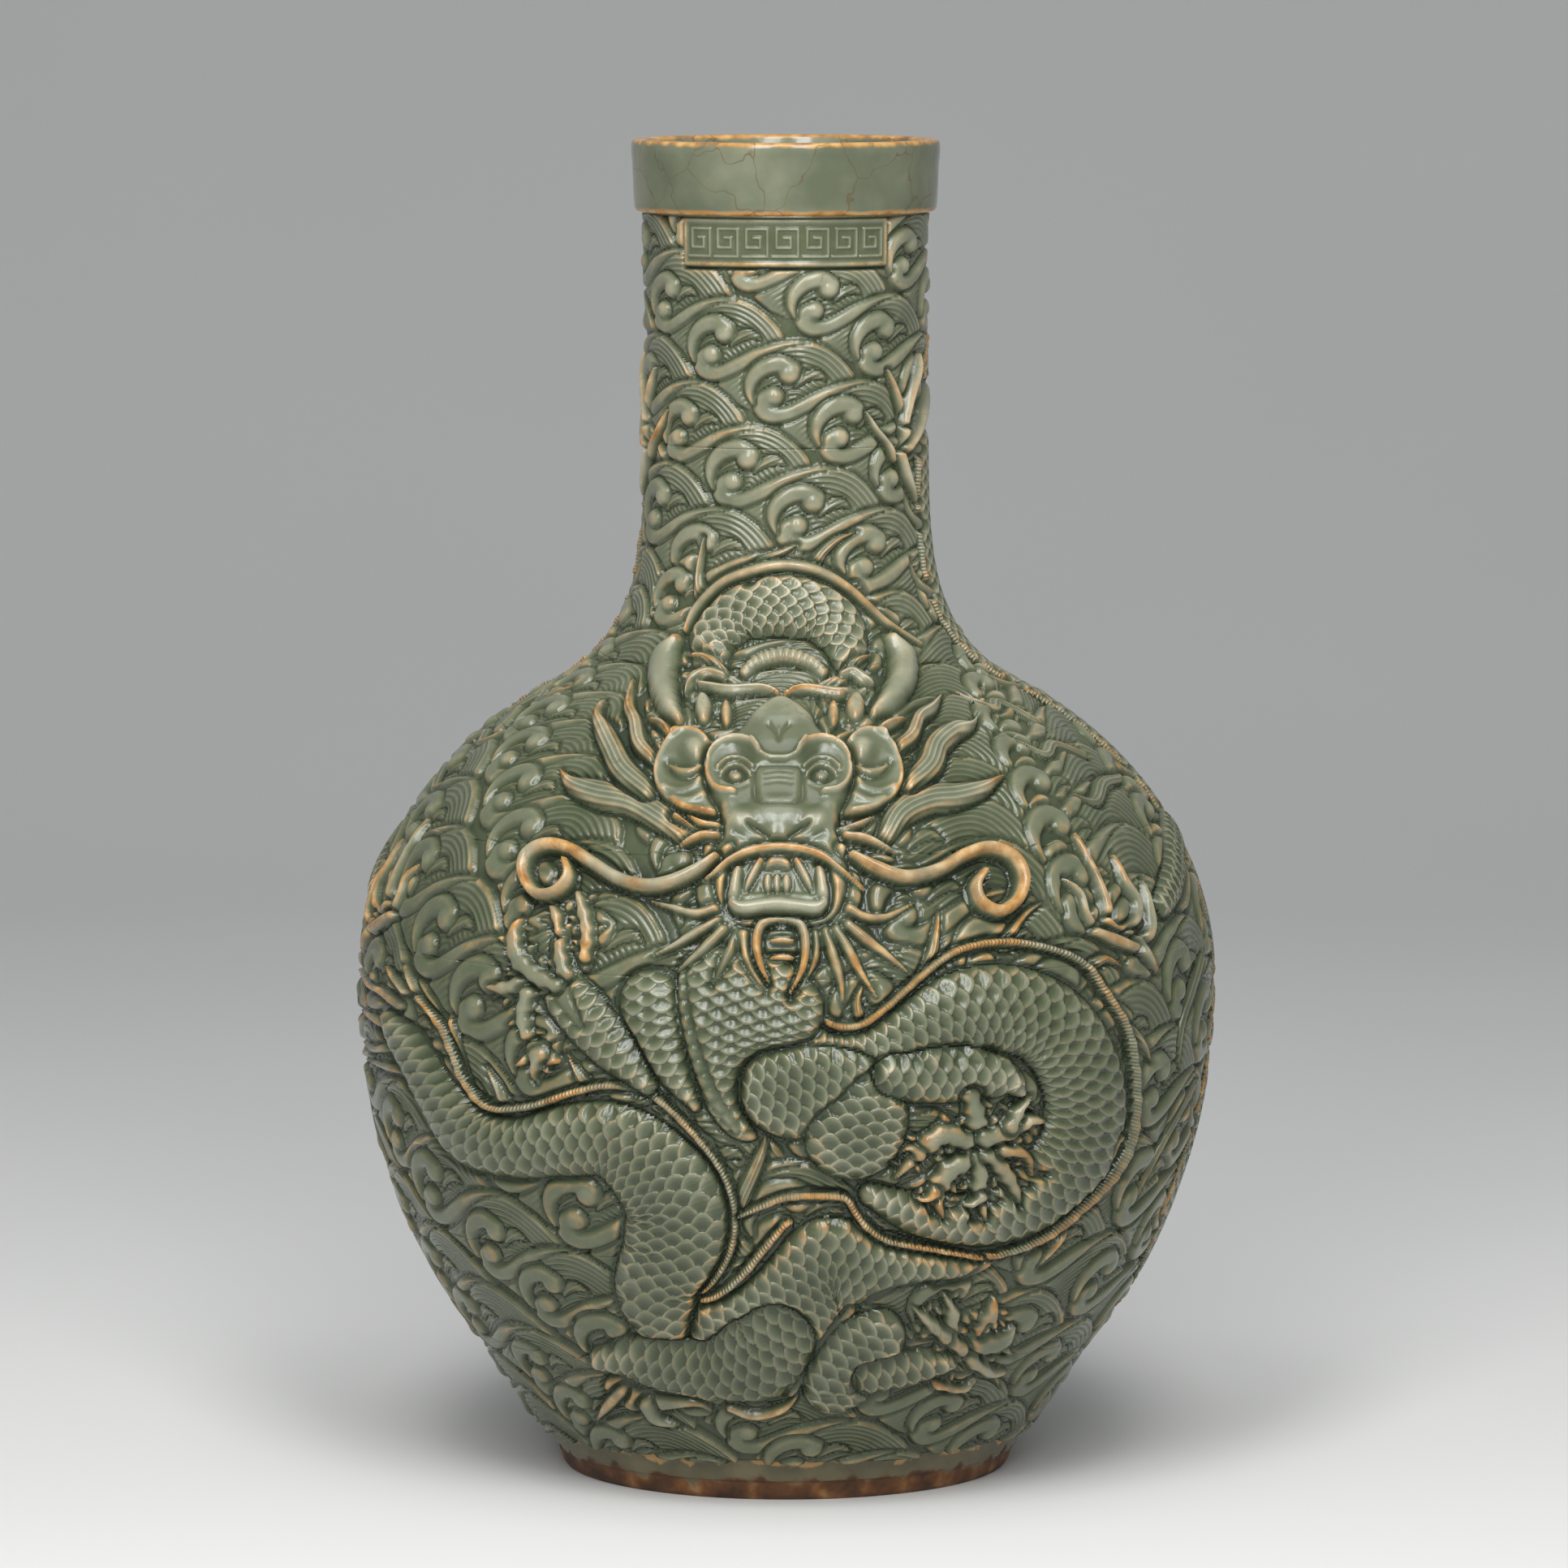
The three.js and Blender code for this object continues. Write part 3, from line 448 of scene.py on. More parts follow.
def wave_tile():
    """The wave's height, its edge distance and its comb lines on a flat raster."""
    xs = np.arange(TILE_LEFT, TILE_RIGHT, TILE_STEP)
    ys = np.arange(TILE_LOW, TILE_HIGH, TILE_STEP)
    x, y = np.meshgrid(xs, ys)
    high = np.full(x.shape, 0.2)
    cover = np.full(x.shape, OPEN)
    combed = np.zeros(x.shape)

    def in_pixels(points):
        return [tuple(v / MM_PER_PIXEL for v in p) for p in points]

    def measured(points):
        return along_curve(smooth(in_pixels(points), FINE_STEP), x / MM_PER_PIXEL, y / MM_PER_PIXEL)

    def put(edge, top, rise, strength=0.0, sink=0.7, merged=False):
        nonlocal high, cover, combed
        up = np.sqrt(1 - (1 - np.clip(edge / rise, 0, 1)) ** 2)
        shade = np.exp(-((np.minimum(edge, 0) / 0.6) ** 2))
        laid = 0.1 + (top - 0.1) * up
        high = np.where(edge > 0, np.maximum(laid, high) if merged else laid, high * (1 - sink * shade))
        cover = np.maximum(cover, edge)
        combed = np.where(edge > 0, strength * np.clip(edge / 0.8, 0, 1), combed * (1 - shade))

    outline = np.array(in_pixels(FAN_OUTLINE))
    fan_edge = inside_outline(outline, x / MM_PER_PIXEL, y / MM_PER_PIXEL)
    along, aside, _ = measured(FAN_SPINE)
    lines = aside / COMB_PITCH
    fall = 2.3 - 0.09 * np.abs(aside)
    put(fan_edge, np.maximum(fall, 1.0), 1.2, np.clip((along - 5) / 6, 0, 1))
    along, aside, half = measured(CREST)
    swell = np.interp(along, [0, 14, 26, 36, 46], [2.4, 2.3, 2.5, 2.6, 2.4])
    joined = np.clip((along - 24) / 10, 0, 1)
    put(half - np.abs(aside), swell, 1.9 + 0.8 * joined, joined * 0.7, 0.6 * (1 - joined))
    along, aside, half = measured(SPOUT)
    put(half - np.abs(aside), 1.6, 1.4, 0.8, 0.5)
    along, aside, half = measured(SMALL_HOOK)
    put(half - np.abs(aside), 2.6, 2.2)
    for (knob_x, knob_y, radius), top in ((SMALL_KNOB, 3.0), (KNOB, 2.9)):
        put(radius - np.hypot(x - knob_x, y - knob_y), top, top, 0, 0, merged=True)
    return high, cover, lines, combed


def read_tile(tile, x, y):
    """The tile's value at points of it, between its raster points."""
    u = np.clip((x - TILE_LEFT) / TILE_STEP, 0, tile.shape[1] - 1.001)
    v = np.clip((y - TILE_LOW) / TILE_STEP, 0, tile.shape[0] - 1.001)
    i, j = v.astype(int), u.astype(int)
    a, b = v - i, u - j
    top = tile[i, j] * (1 - b) + tile[i, j + 1] * b
    low = tile[i + 1, j] * (1 - b) + tile[i + 1, j + 1] * b
    return top * (1 - a) + low * a


WAVE_SEED = 7
WAVE_GROUND = 0.25
LAST_WAVE_ROW = -10
# Where the waves start to grow, as a radius, and over what they do.
GROWTH_FROM, GROWTH_OVER = 45, 60
# Chance moves each wave along by a share of its row's pitch, up or down by millimetres, and changes its size.
WAVE_SWAY = 0.04
WAVE_LEAN = 0.6
WAVE_SIZES = (0.95, 1.06)


def lay_waves():
    """Rows of waves from the top down, each row shifted along from the one above it."""
    high, cover, lines, combed = wave_tile()
    random = np.random.default_rng(WAVE_SEED)
    height[:] = WAVE_GROUND
    middle = float(np.interp(TOP_WAVE_Z, ROW_Z, ARC))
    start = math.radians(TOP_WAVE_AZIMUTH)
    while middle > LAST_WAVE_ROW:
        radius = float(np.interp(np.clip(middle, 0, ARC[-1]), ARC, ROW_RADIUS))
        growth = 1 + BELLY_WAVE_GROWTH * np.clip((radius - GROWTH_FROM) / GROWTH_OVER, 0, 1)
        count = max(5, int(round(2 * np.pi * radius / (WAVE_WIDTH * growth))))
        width = 2 * np.pi * radius / (count * WAVE_WIDTH)
        first, last = (int(np.searchsorted(ARC, middle + end * growth)) for end in (TILE_LOW, TILE_HIGH))
        if last <= first:
            break
        rows = np.arange(first, last)[:, None]
        for k in range(count):
            centre = start + k / count * 2 * np.pi + random.uniform(-WAVE_SWAY, WAVE_SWAY) / count
            lean = random.uniform(-WAVE_LEAN, WAVE_LEAN)
            size = random.uniform(*WAVE_SIZES)
            left, right = (((centre + end * width * size / radius) + np.pi) / (2 * np.pi) * COLUMNS
                           for end in (TILE_LEFT, TILE_RIGHT))
            columns = np.arange(int(np.floor(left)), int(np.ceil(right)))[None, :]
            across = (columns * 2 * np.pi / COLUMNS - np.pi - centre) * ROW_RADIUS[rows] / (width * size)
            up = (ARC[rows] - middle - lean) / (size * growth) + 0 * across
            inside = (across > TILE_LEFT) & (across < TILE_RIGHT - 0.5)
            inside &= (up > TILE_LOW) & (up < TILE_HIGH - 0.5)
            edge = np.where(inside, read_tile(cover, across, up), OPEN)
            shade = np.exp(-((np.minimum(edge, 0) / 0.7) ** 2))
            here = rows, np.mod(columns, COLUMNS)
            height[here] = np.where(edge > 0, read_tile(high, across, up), height[here] * (1 - 0.6 * shade))
            for layer, tile, kept in ((COMB, lines, 1), (COMBED, combed, 1 - shade)):
                below = pattern[layer][here]
                pattern[layer][here] = np.where(edge > 0, read_tile(tile, across, up), below * kept)
        start += WAVE_SHIFT / count * 2 * np.pi
        middle -= WAVE_PITCH * growth


TABLET_HALF_ANGLE = 45.0
TABLET_LOW_Z = 370.5
TABLET_HIGH_Z = 385.4
TABLET_LIFT = 2.0
TABLET_BED = 0.2


def clear_for_tablet():
    """No wave stands where the tablet sits."""
    rows = ROW_Z > TABLET_LOW_Z - 0.8
    cols = np.abs(np.degrees(AZIMUTH)) < TABLET_HALF_ANGLE + 1
    height[np.ix_(rows, cols)] = TABLET_BED
    pattern[np.ix_([COMBED], rows, cols)] = 0


# The dragon of the front, by its parts. Points are pixels of the front view, with half widths where a curve is.

LEFT_COIL = [
    (486, 1252, 10), (500, 1275, 20), (522, 1310, 24), (548, 1355, 28), (585, 1398, 36), (640, 1413, 38),
    (700, 1404, 45), (757, 1404, 48), (803, 1437, 56), (832, 1482, 63), (832, 1535, 64), (818, 1585, 60),
    (822, 1630, 40),
]
LEFT_RIDGE = [
    (520, 1228, 3), (548, 1262, 5), (565, 1300, 5), (578, 1332, 5), (606, 1362, 5.5), (655, 1362, 6),
    (715, 1343, 6), (762, 1336, 6), (808, 1350, 6), (850, 1388, 6), (890, 1440, 5.5), (906, 1490, 5.5),
    (902, 1535, 5.5), (884, 1570, 5), (864, 1592, 3),
]
MIDDLE_RIDGE = [
    (866, 1597, 3), (885, 1592, 5), (915, 1568, 6), (945, 1532, 6), (968, 1505, 5), (975, 1503, 3),
]
HIP = [
    (862, 1602), (905, 1588), (940, 1558), (972, 1520), (1010, 1497), (1060, 1503), (1100, 1524),
    (1150, 1540), (1205, 1550), (1180, 1572), (1130, 1578), (1080, 1590), (1045, 1620), (1020, 1662),
    (1000, 1700), (950, 1722), (890, 1712), (850, 1680),
]
HIP_FLOW = [
    (850, 1690, 70), (900, 1640, 80), (960, 1580, 75), (1020, 1540, 50), (1100, 1555, 30), (1200, 1555, 16),
]
LOW_RIDGE = [
    (910, 1497, 2), (935, 1485, 5), (970, 1472, 6), (1010, 1470, 6), (1040, 1473, 6), (1052, 1490, 6),
    (1068, 1510, 6), (1095, 1526, 5), (1150, 1536, 4.5), (1205, 1546, 4),
]
NECK_AND_RIGHT_COIL = [
    (905, 1180, 46), (915, 1230, 58), (950, 1280, 56), (1010, 1312, 44), (1070, 1306, 40), (1125, 1276, 42),
    (1178, 1248, 50), (1235, 1242, 54), (1290, 1264, 54), (1324, 1312, 52), (1334, 1372, 50),
    (1314, 1432, 48), (1264, 1477, 42), (1200, 1500, 34), (1130, 1493, 28), (1072, 1470, 16),
]
RIGHT_RIDGE = [
    (985, 1215, 3), (1000, 1243, 5), (1028, 1263, 6), (1060, 1262, 6), (1092, 1240, 6), (1130, 1206, 6),
    (1160, 1182, 6), (1190, 1168, 6), (1240, 1162, 6), (1295, 1172, 6), (1332, 1190, 6), (1356, 1222, 6),
    (1382, 1265, 6), (1392, 1310, 6), (1394, 1360, 6), (1388, 1405, 6), (1368, 1445, 6), (1330, 1484, 6),
    (1285, 1520, 5.5), (1232, 1541, 5), (1180, 1544, 5), (1130, 1532, 5), (1095, 1520, 4),
]
CHEST = [
    (846, 1180), (900, 1165), (965, 1180), (1012, 1225), (1010, 1268), (975, 1290), (935, 1298), (912, 1325),
    (912, 1360), (935, 1400), (905, 1402), (872, 1366), (852, 1310), (842, 1250), (838, 1205),
]
CHEST_FLOW = [(905, 1165, 60), (892, 1225, 60), (886, 1290, 50), (902, 1350, 40), (925, 1400, 20)]
BELLY_PLATES = [(842, 1195, 5), (844, 1240, 7), (856, 1292, 8), (876, 1342, 8), (908, 1390, 4)]
ARCH = [
    (876, 812, 24), (882, 785, 32), (905, 757, 40), (940, 745, 44), (975, 745, 44), (1012, 757, 40),
    (1036, 785, 32), (1046, 812, 24),
]
ARCH_FLOW_PLATES = [(919, 834, 8), (935, 820, 10), (965, 812, 11), (996, 820, 10), (1013, 834, 8)]
ARCH_RIDGE = [
    (848, 780, 4), (862, 752, 7), (892, 720, 8), (928, 704, 8.5), (965, 697, 8.5), (1003, 703, 8.5),
    (1040, 724, 7.5), (1068, 750, 6), (1092, 772, 5), (1132, 797, 2),
]
FINS = {
    "arch": [
        [(866, 740, 9), (864, 712, 5.5), (867, 685, 3.5), (871, 662, 1)],
        [(925, 712, 8), (940, 693, 7), (965, 680, 5), (982, 671, 1)],
        [(1003, 702, 9), (1010, 684, 7), (1030, 665, 5), (1052, 655, 1)],
    ],
    "right_coil": [
        [(1140, 1200, 10), (1148, 1170, 7.5), (1152, 1145, 5), (1155, 1124, 1)],
        [(1236, 1165, 10), (1247, 1145, 6.5), (1262, 1126, 4.5), (1282, 1113, 1)],
        [(1340, 1192, 8), (1356, 1182, 6), (1378, 1190, 1)],
        [(1388, 1268, 8), (1402, 1285, 5.5), (1412, 1307, 1)],
        [(1374, 1440, 8), (1384, 1418, 6), (1382, 1400, 4.5), (1372, 1405, 3), (1366, 1430, 1)],
        [(1310, 1502, 7), (1300, 1525, 5.5), (1276, 1556, 1)],
        [(1222, 1545, 7), (1190, 1566, 5.5), (1150, 1580, 1)],
        [(1060, 1260, 8), (1055, 1235, 6), (1063, 1210, 1)],
    ],
    "left_coil": [
        [(575, 1325, 7), (567, 1292, 6), (562, 1265, 4), (560, 1248, 1)],
        [(626, 1360, 8), (618, 1338, 6), (604, 1312, 1)],
        [(728, 1342, 10), (716, 1322, 6.5), (702, 1298, 1)],
        [(846, 1382, 10), (834, 1350, 8), (829, 1318, 5), (824, 1286, 1)],
        [(912, 1480, 12), (930, 1440, 10), (940, 1415, 6), (944, 1394, 1)],
        [(520, 1228, 5), (512, 1208, 4), (504, 1190, 1)],
        [(505, 1222, 5), (492, 1205, 4), (482, 1190, 1)],
    ],
}
TAIL_FLAMES = [
    [(498, 1240, 7), (478, 1222, 6), (462, 1214, 4), (448, 1192, 1)],
    [(480, 1262, 7), (465, 1252, 5), (452, 1244, 1)],
    [(482, 1290, 7), (468, 1292, 5), (455, 1282, 1)],
    [(500, 1318, 6), (480, 1312, 5), (458, 1304, 1)],
]
LEFT_UPPER_ARM = [(803, 1232, 38), (806, 1262, 40), (818, 1295, 32), (838, 1330, 20), (858, 1362, 8)]
LEFT_FOREARM = [(694, 1190, 18), (702, 1224, 31), (730, 1260, 33), (764, 1298, 28), (800, 1336, 13)]
LEFT_WRIST = [(700, 1150, 1), (690, 1175, 8), (692, 1205, 12), (706, 1236, 9), (722, 1262, 3)]
LEFT_HAND = [
    [(700, 1200, 12), (695, 1170, 9), (700, 1148, 5), (708, 1138, 1)],
    [(690, 1215, 10), (660, 1200, 13), (642, 1178, 12), (640, 1150, 9), (650, 1132, 2)],
    [(725, 1180, 8), (728, 1150, 10), (722, 1120, 9), (715, 1098, 2)],
    [(642, 1215, 12), (622, 1218, 9), (606, 1216, 2)],
    [(655, 1225, 10), (650, 1250, 10), (655, 1275, 8), (662, 1290, 4)],
    [(668, 1298, 17), (672, 1300, 17), (690, 1306, 6)],
    [(664, 1296, 14), (652, 1306, 7), (640, 1312, 1)],
    [(668, 1300, 12), (664, 1320, 5), (666, 1334, 1)],
    [(694, 1150, 6), (690, 1128, 8), (680, 1112, 2)],
]
RIGHT_SHOULDER = [
    (912, 1345), (920, 1312), (950, 1294), (1000, 1286), (1050, 1292), (1078, 1308), (1070, 1340),
    (1040, 1378), (1000, 1400), (960, 1400), (925, 1380),
]
RIGHT_ELBOW = [
    (1060, 1322), (1092, 1308), (1112, 1330), (1118, 1370), (1112, 1410), (1088, 1440), (1048, 1452),
    (1010, 1440), (990, 1408), (1000, 1376), (1030, 1350),
]
SHOULDER_FLOW = [(915, 1360, 50), (960, 1345, 55), (1020, 1320, 50), (1075, 1300, 40)]
ELBOW_FLOW = [(1050, 1455, 62), (1055, 1400, 64), (1068, 1350, 50), (1085, 1305, 40)]
KNUCKLES = [(1090, 1312), (1142, 1300), (1196, 1290), (1232, 1298)]
RIGHT_FOREARM = [
    (1098, 1322, 26), (1130, 1325, 34), (1165, 1322, 36), (1205, 1322, 32), (1238, 1330, 22), (1252, 1345, 8),
]
RIGHT_HAND = [
    [(1192, 1348, 12), (1200, 1382, 14), (1200, 1415, 15)],
    [(1190, 1405, 13), (1160, 1395, 14), (1135, 1412, 12), (1100, 1448, 2)],
    [(1195, 1425, 12), (1165, 1440, 13), (1150, 1470, 12), (1158, 1496, 2)],
    [(1205, 1425, 12), (1202, 1455, 11), (1205, 1480, 8), (1208, 1500, 1)],
    [(1215, 1420, 12), (1232, 1440, 12), (1245, 1465, 8), (1248, 1480, 1)],
    [(1210, 1400, 12), (1240, 1392, 13), (1260, 1378, 10), (1285, 1380, 1)],
    [(1240, 1385, 10), (1252, 1362, 7), (1266, 1348, 1)],
    [(1130, 1420, 8), (1118, 1410, 5), (1106, 1418, 1)],
    [(1148, 1465, 8), (1136, 1474, 5), (1122, 1470, 1)],
    [(1232, 1415, 9), (1258, 1420, 7), (1266, 1448, 1)],
    [(1205, 1470, 7), (1190, 1480, 5), (1178, 1478, 1)],
]
LEFT_HIND_LEG = [
    (745, 1668, 16), (785, 1668, 28), (830, 1678, 36), (880, 1684, 42), (930, 1668, 55), (955, 1650, 50),
]
LEFT_HIND_CLAW = [
    [(760, 1700, 12), (790, 1722, 13), (825, 1722, 10), (862, 1722, 5), (880, 1734, 1)],
    [(800, 1724, 10), (812, 1742, 8), (840, 1752, 1)],
    [(770, 1708, 9), (752, 1728, 8), (740, 1746, 1)],
    [(900, 1728, 5), (930, 1738, 6), (965, 1730, 5), (985, 1712, 1)],
]
RIGHT_HIND_KNEE = [
    (1062, 1612), (1092, 1608), (1112, 1628), (1112, 1660), (1090, 1690), (1060, 1725), (1020, 1738),
    (992, 1720), (990, 1690), (1010, 1655), (1035, 1625),
]
KNEE_FLOW = [(1000, 1735, 40), (1030, 1690, 48), (1075, 1640, 40), (1100, 1605, 30)]
RIGHT_HIND_LEG = [(1070, 1690, 22), (1110, 1682, 22), (1150, 1672, 18), (1185, 1660, 12)]
RIGHT_HIND_CLAW = [
    [(1185, 1662, 12), (1205, 1645, 14), (1215, 1620, 12), (1222, 1592, 2)],
    [(1200, 1655, 12), (1230, 1645, 11), (1246, 1625, 1)],
    [(1180, 1655, 10), (1165, 1640, 12), (1170, 1612, 10), (1160, 1590, 2)],
    [(1160, 1640, 10), (1140, 1622, 9), (1122, 1606, 1)],
    [(1195, 1672, 10), (1215, 1684, 8), (1236, 1682, 1)],
    [(1150, 1700, 6), (1180, 1705, 5), (1200, 1690, 1)],
]
HIND_PLATES = [(1046, 1610, 8), (1028, 1640, 11), (1008, 1668, 11), (985, 1692, 10), (975, 1712, 6)]

LEFT_HORN = [(838, 792, 9), (824, 815, 18), (819, 845, 20), (826, 875, 17), (838, 893, 8)]
RIGHT_HORN = [(1094, 790, 9), (1108, 815, 18), (1108, 845, 20), (1094, 868, 17), (1076, 884, 8)]
LEAVES = [
    [(852, 812, 1), (872, 816, 6), (888, 830, 9), (902, 848, 9), (938, 855, 3)],
    [(846, 862, 2), (856, 846, 9), (874, 836, 9), (892, 840, 6)],
    [(1070, 812, 1), (1052, 822, 6), (1040, 838, 9), (1020, 852, 9), (975, 858, 3)],
    [(1075, 852, 2), (1062, 845, 9), (1048, 835, 8), (1036, 838, 5)],
    [(865, 852, 5), (900, 858, 7), (940, 856, 5), (962, 862, 2)],
    [(1062, 860, 5), (1030, 862, 7), (990, 856, 5), (966, 862, 2)],
]
LOBES = [(868, 879, 12, 19), (896, 886, 8, 16), (1026, 886, 8, 16), (1053, 878, 13, 18)]
FACE_MIDDLE = 959.5
LEFT_EAR = [
    (838, 908), (822, 922), (812, 942), (808, 964), (816, 986), (836, 1002), (862, 1012), (888, 1010),
    (884, 990), (872, 972), (870, 946), (880, 926), (870, 912), (856, 906),
]
EAR_RIM = [(836, 911), (821, 928), (812, 948), (811, 970), (822, 991), (845, 1003), (870, 1008)]
EAR_FOLD = [(826, 951, 1), (840, 959, 5.5), (856, 959, 5), (869, 950, 1)]
EAR_LOBES = [[(822, 978), (838, 982), (856, 978), (868, 966)], [(834, 992), (852, 995), (870, 988)]]
EAR_TOP = [(832, 917), (846, 909), (862, 913), (875, 924)]
HEAD = [
    (908, 910), (926, 892), (962, 872), (998, 892), (1014, 910), (1042, 930), (1051, 958), (1043, 990),
    (1034, 1010), (1038, 1040), (1044, 1062), (1042, 1100), (1030, 1130), (1008, 1142), (963, 1146),
    (916, 1142), (896, 1130), (882, 1100), (880, 1062), (886, 1040), (889, 1010), (878, 990), (869, 958),
    (878, 930),
]
CHEEK_FUR = [
    (886, 1030), (866, 1060), (858, 1100), (868, 1135), (892, 1162), (930, 1176), (990, 1176), (1028, 1162),
    (1052, 1135), (1062, 1100), (1054, 1060), (1034, 1030),
]
EYE_RING = [
    (935, 940), (924, 930), (906, 926), (888, 930), (876, 942), (873, 960), (878, 976), (890, 986),
    (906, 989),
]
UPPER_LID = [(887, 957), (896, 948), (907, 945), (919, 948), (929, 957)]
LOWER_LID = [(891, 964), (899, 956), (908, 953), (917, 956), (925, 964)]
EYE_BAG = [(891, 974), (907, 980), (924, 974)]
BROW = [(929, 931), (937, 942), (948, 948), (960, 949), (972, 948), (983, 942), (991, 931)]
NOSE_BRIDGE = [
    (933, 960), (946, 957), (973, 957), (986, 960), (987, 980), (985, 999), (960, 1002), (935, 999),
    (932, 980),
]
NOSTRIL = [(924, 1026), (934, 1032), (947, 1040)]
UNDER_NOSE = [(908, 1036), (924, 1044), (944, 1048), (960, 1049), (976, 1048), (996, 1044), (1012, 1036)]
UPPER_LIP = [
    (858, 1092, 1), (878, 1084, 3.6), (900, 1068, 5), (925, 1056.5, 5.6), (958, 1052, 6), (990, 1055, 5.6),
    (1013, 1063, 5), (1036, 1080, 3.8), (1064, 1101, 1),
]
JAW = [
    (902, 1076), (914, 1070), (1004, 1070), (1017, 1076), (1022, 1108), (1018, 1126), (1002, 1134),
    (958, 1131), (916, 1134), (900, 1126), (896, 1108),
]
MOUTH = [
    (917, 1066), (958, 1062), (1002, 1066), (1003, 1096), (992, 1106), (958, 1104), (927, 1106), (917, 1096),
]
LOWER_LIP = [
    (904, 1117, 6), (916, 1122, 8), (937, 1120, 8), (958, 1118, 8), (980, 1120, 8), (1003, 1122, 8),
    (1014, 1117, 6),
]
JAW_SIDE = [(911, 1076, 4), (908, 1092, 6), (905, 1110, 7)]
FANG = [(938, 1066, 5), (930, 1080, 5.5), (923, 1094, 4.5), (919, 1104, 1.5)]
UPPER_TEETH = [(946, 1070, 6), (958, 1066, 8), (970, 1070, 6)]
WHISKERS = {
    "left_whisker": [
        (884, 1062, 6), (862, 1078, 9), (830, 1092, 9.5), (800, 1096, 9.5), (768, 1088, 9.5),
        (735, 1068, 9.5), (708, 1052, 9.5), (682, 1048, 9), (660, 1060, 8.5), (655, 1082, 8.5),
        (668, 1104, 8.5), (692, 1104, 8), (708, 1086, 7), (704, 1066, 5),
    ],
    "right_whisker": [
        (1048, 1060, 6), (1074, 1074, 9), (1110, 1086, 9.5), (1150, 1078, 9.5), (1182, 1060, 9.5),
        (1210, 1052, 9.5), (1238, 1062, 9), (1252, 1086, 9), (1246, 1112, 9), (1224, 1126, 9),
        (1202, 1116, 8.5), (1196, 1096, 8), (1206, 1080, 6),
    ],
}
MANE = {
    "left_mane": [
        [
            (848, 1036, 12), (820, 1014, 19), (782, 992, 20), (742, 984, 19), (712, 974, 13), (700, 962, 6),
            (694, 952, 1),
        ],
        [(800, 980, 14), (772, 956, 18), (758, 930, 16), (746, 905, 13), (740, 888, 7), (748, 868, 1)],
        [(812, 945, 8), (792, 925, 12), (786, 898, 11), (778, 876, 8), (784, 842, 1)],
        [(830, 915, 6), (818, 900, 7), (800, 892, 1)],
        [(836, 1012, 7), (862, 1026, 5), (884, 1030, 2)],
    ],
    "right_mane": [
        [
            (1090, 1034, 12), (1108, 1006, 19), (1140, 990, 20), (1175, 986, 17), (1205, 978, 12),
            (1222, 968, 6), (1234, 960, 1),
        ],
        [(1118, 972, 12), (1142, 950, 18), (1152, 925, 17), (1172, 908, 14), (1192, 902, 7), (1202, 888, 1)],
        [(1098, 930, 8), (1120, 915, 11), (1130, 892, 10), (1146, 880, 8), (1158, 862, 1)],
        [(1082, 905, 6), (1098, 898, 7), (1116, 892, 1)],
    ],
}
BEARD = [
    [(884, 1122, 7), (860, 1128, 7), (835, 1122, 5.5), (804, 1112, 1)],
    [(886, 1138, 7), (862, 1150, 7.5), (838, 1164, 6), (806, 1180, 1)],
    [(892, 1148, 8), (872, 1168, 8), (854, 1184, 6), (832, 1202, 1)],
    [(912, 1152, 8), (902, 1172, 8), (892, 1192, 6), (880, 1214, 1)],
    [(918, 1155, 9), (922, 1180, 8), (934, 1205, 6), (946, 1222, 1)],
    [(1002, 1155, 9), (1002, 1180, 8), (990, 1205, 6), (974, 1232, 1)],
    [(1018, 1150, 8), (1026, 1180, 8), (1034, 1208, 6), (1038, 1238, 1)],
    [(1030, 1148, 8), (1044, 1172, 8), (1058, 1198, 6), (1078, 1228, 1)],
    [(1044, 1142, 8), (1066, 1160, 8), (1088, 1176, 6), (1116, 1198, 1)],
    [(1044, 1122, 7), (1064, 1132, 7), (1090, 1132, 5.5), (1126, 1114, 1)],
    [(886, 1026, 6), (868, 1022, 5), (848, 1010, 1)],
    [(886, 1036, 6), (866, 1036, 6), (838, 1048, 1)],
    [(900, 1052, 7), (882, 1066, 6), (858, 1086, 1)],
    [(1036, 1030, 6), (1054, 1024, 5), (1076, 1012, 1)],
    [(1040, 1036, 6), (1066, 1040, 6), (1102, 1056, 1)],
    [(1034, 1052, 7), (1050, 1066, 6), (1074, 1088, 1)],
]
CHIN_LOOP = [
    (948, 1212, 1.5), (938, 1190, 5), (933, 1165, 6.5), (940, 1142, 7), (963, 1133, 7), (985, 1142, 7),
    (992, 1165, 6.5), (988, 1195, 5), (972, 1226, 1.5),
]


def lay_fins(name, top):
    for fin in FINS[name]:
        strap(fin, top, name, 1.2, detail=hair())


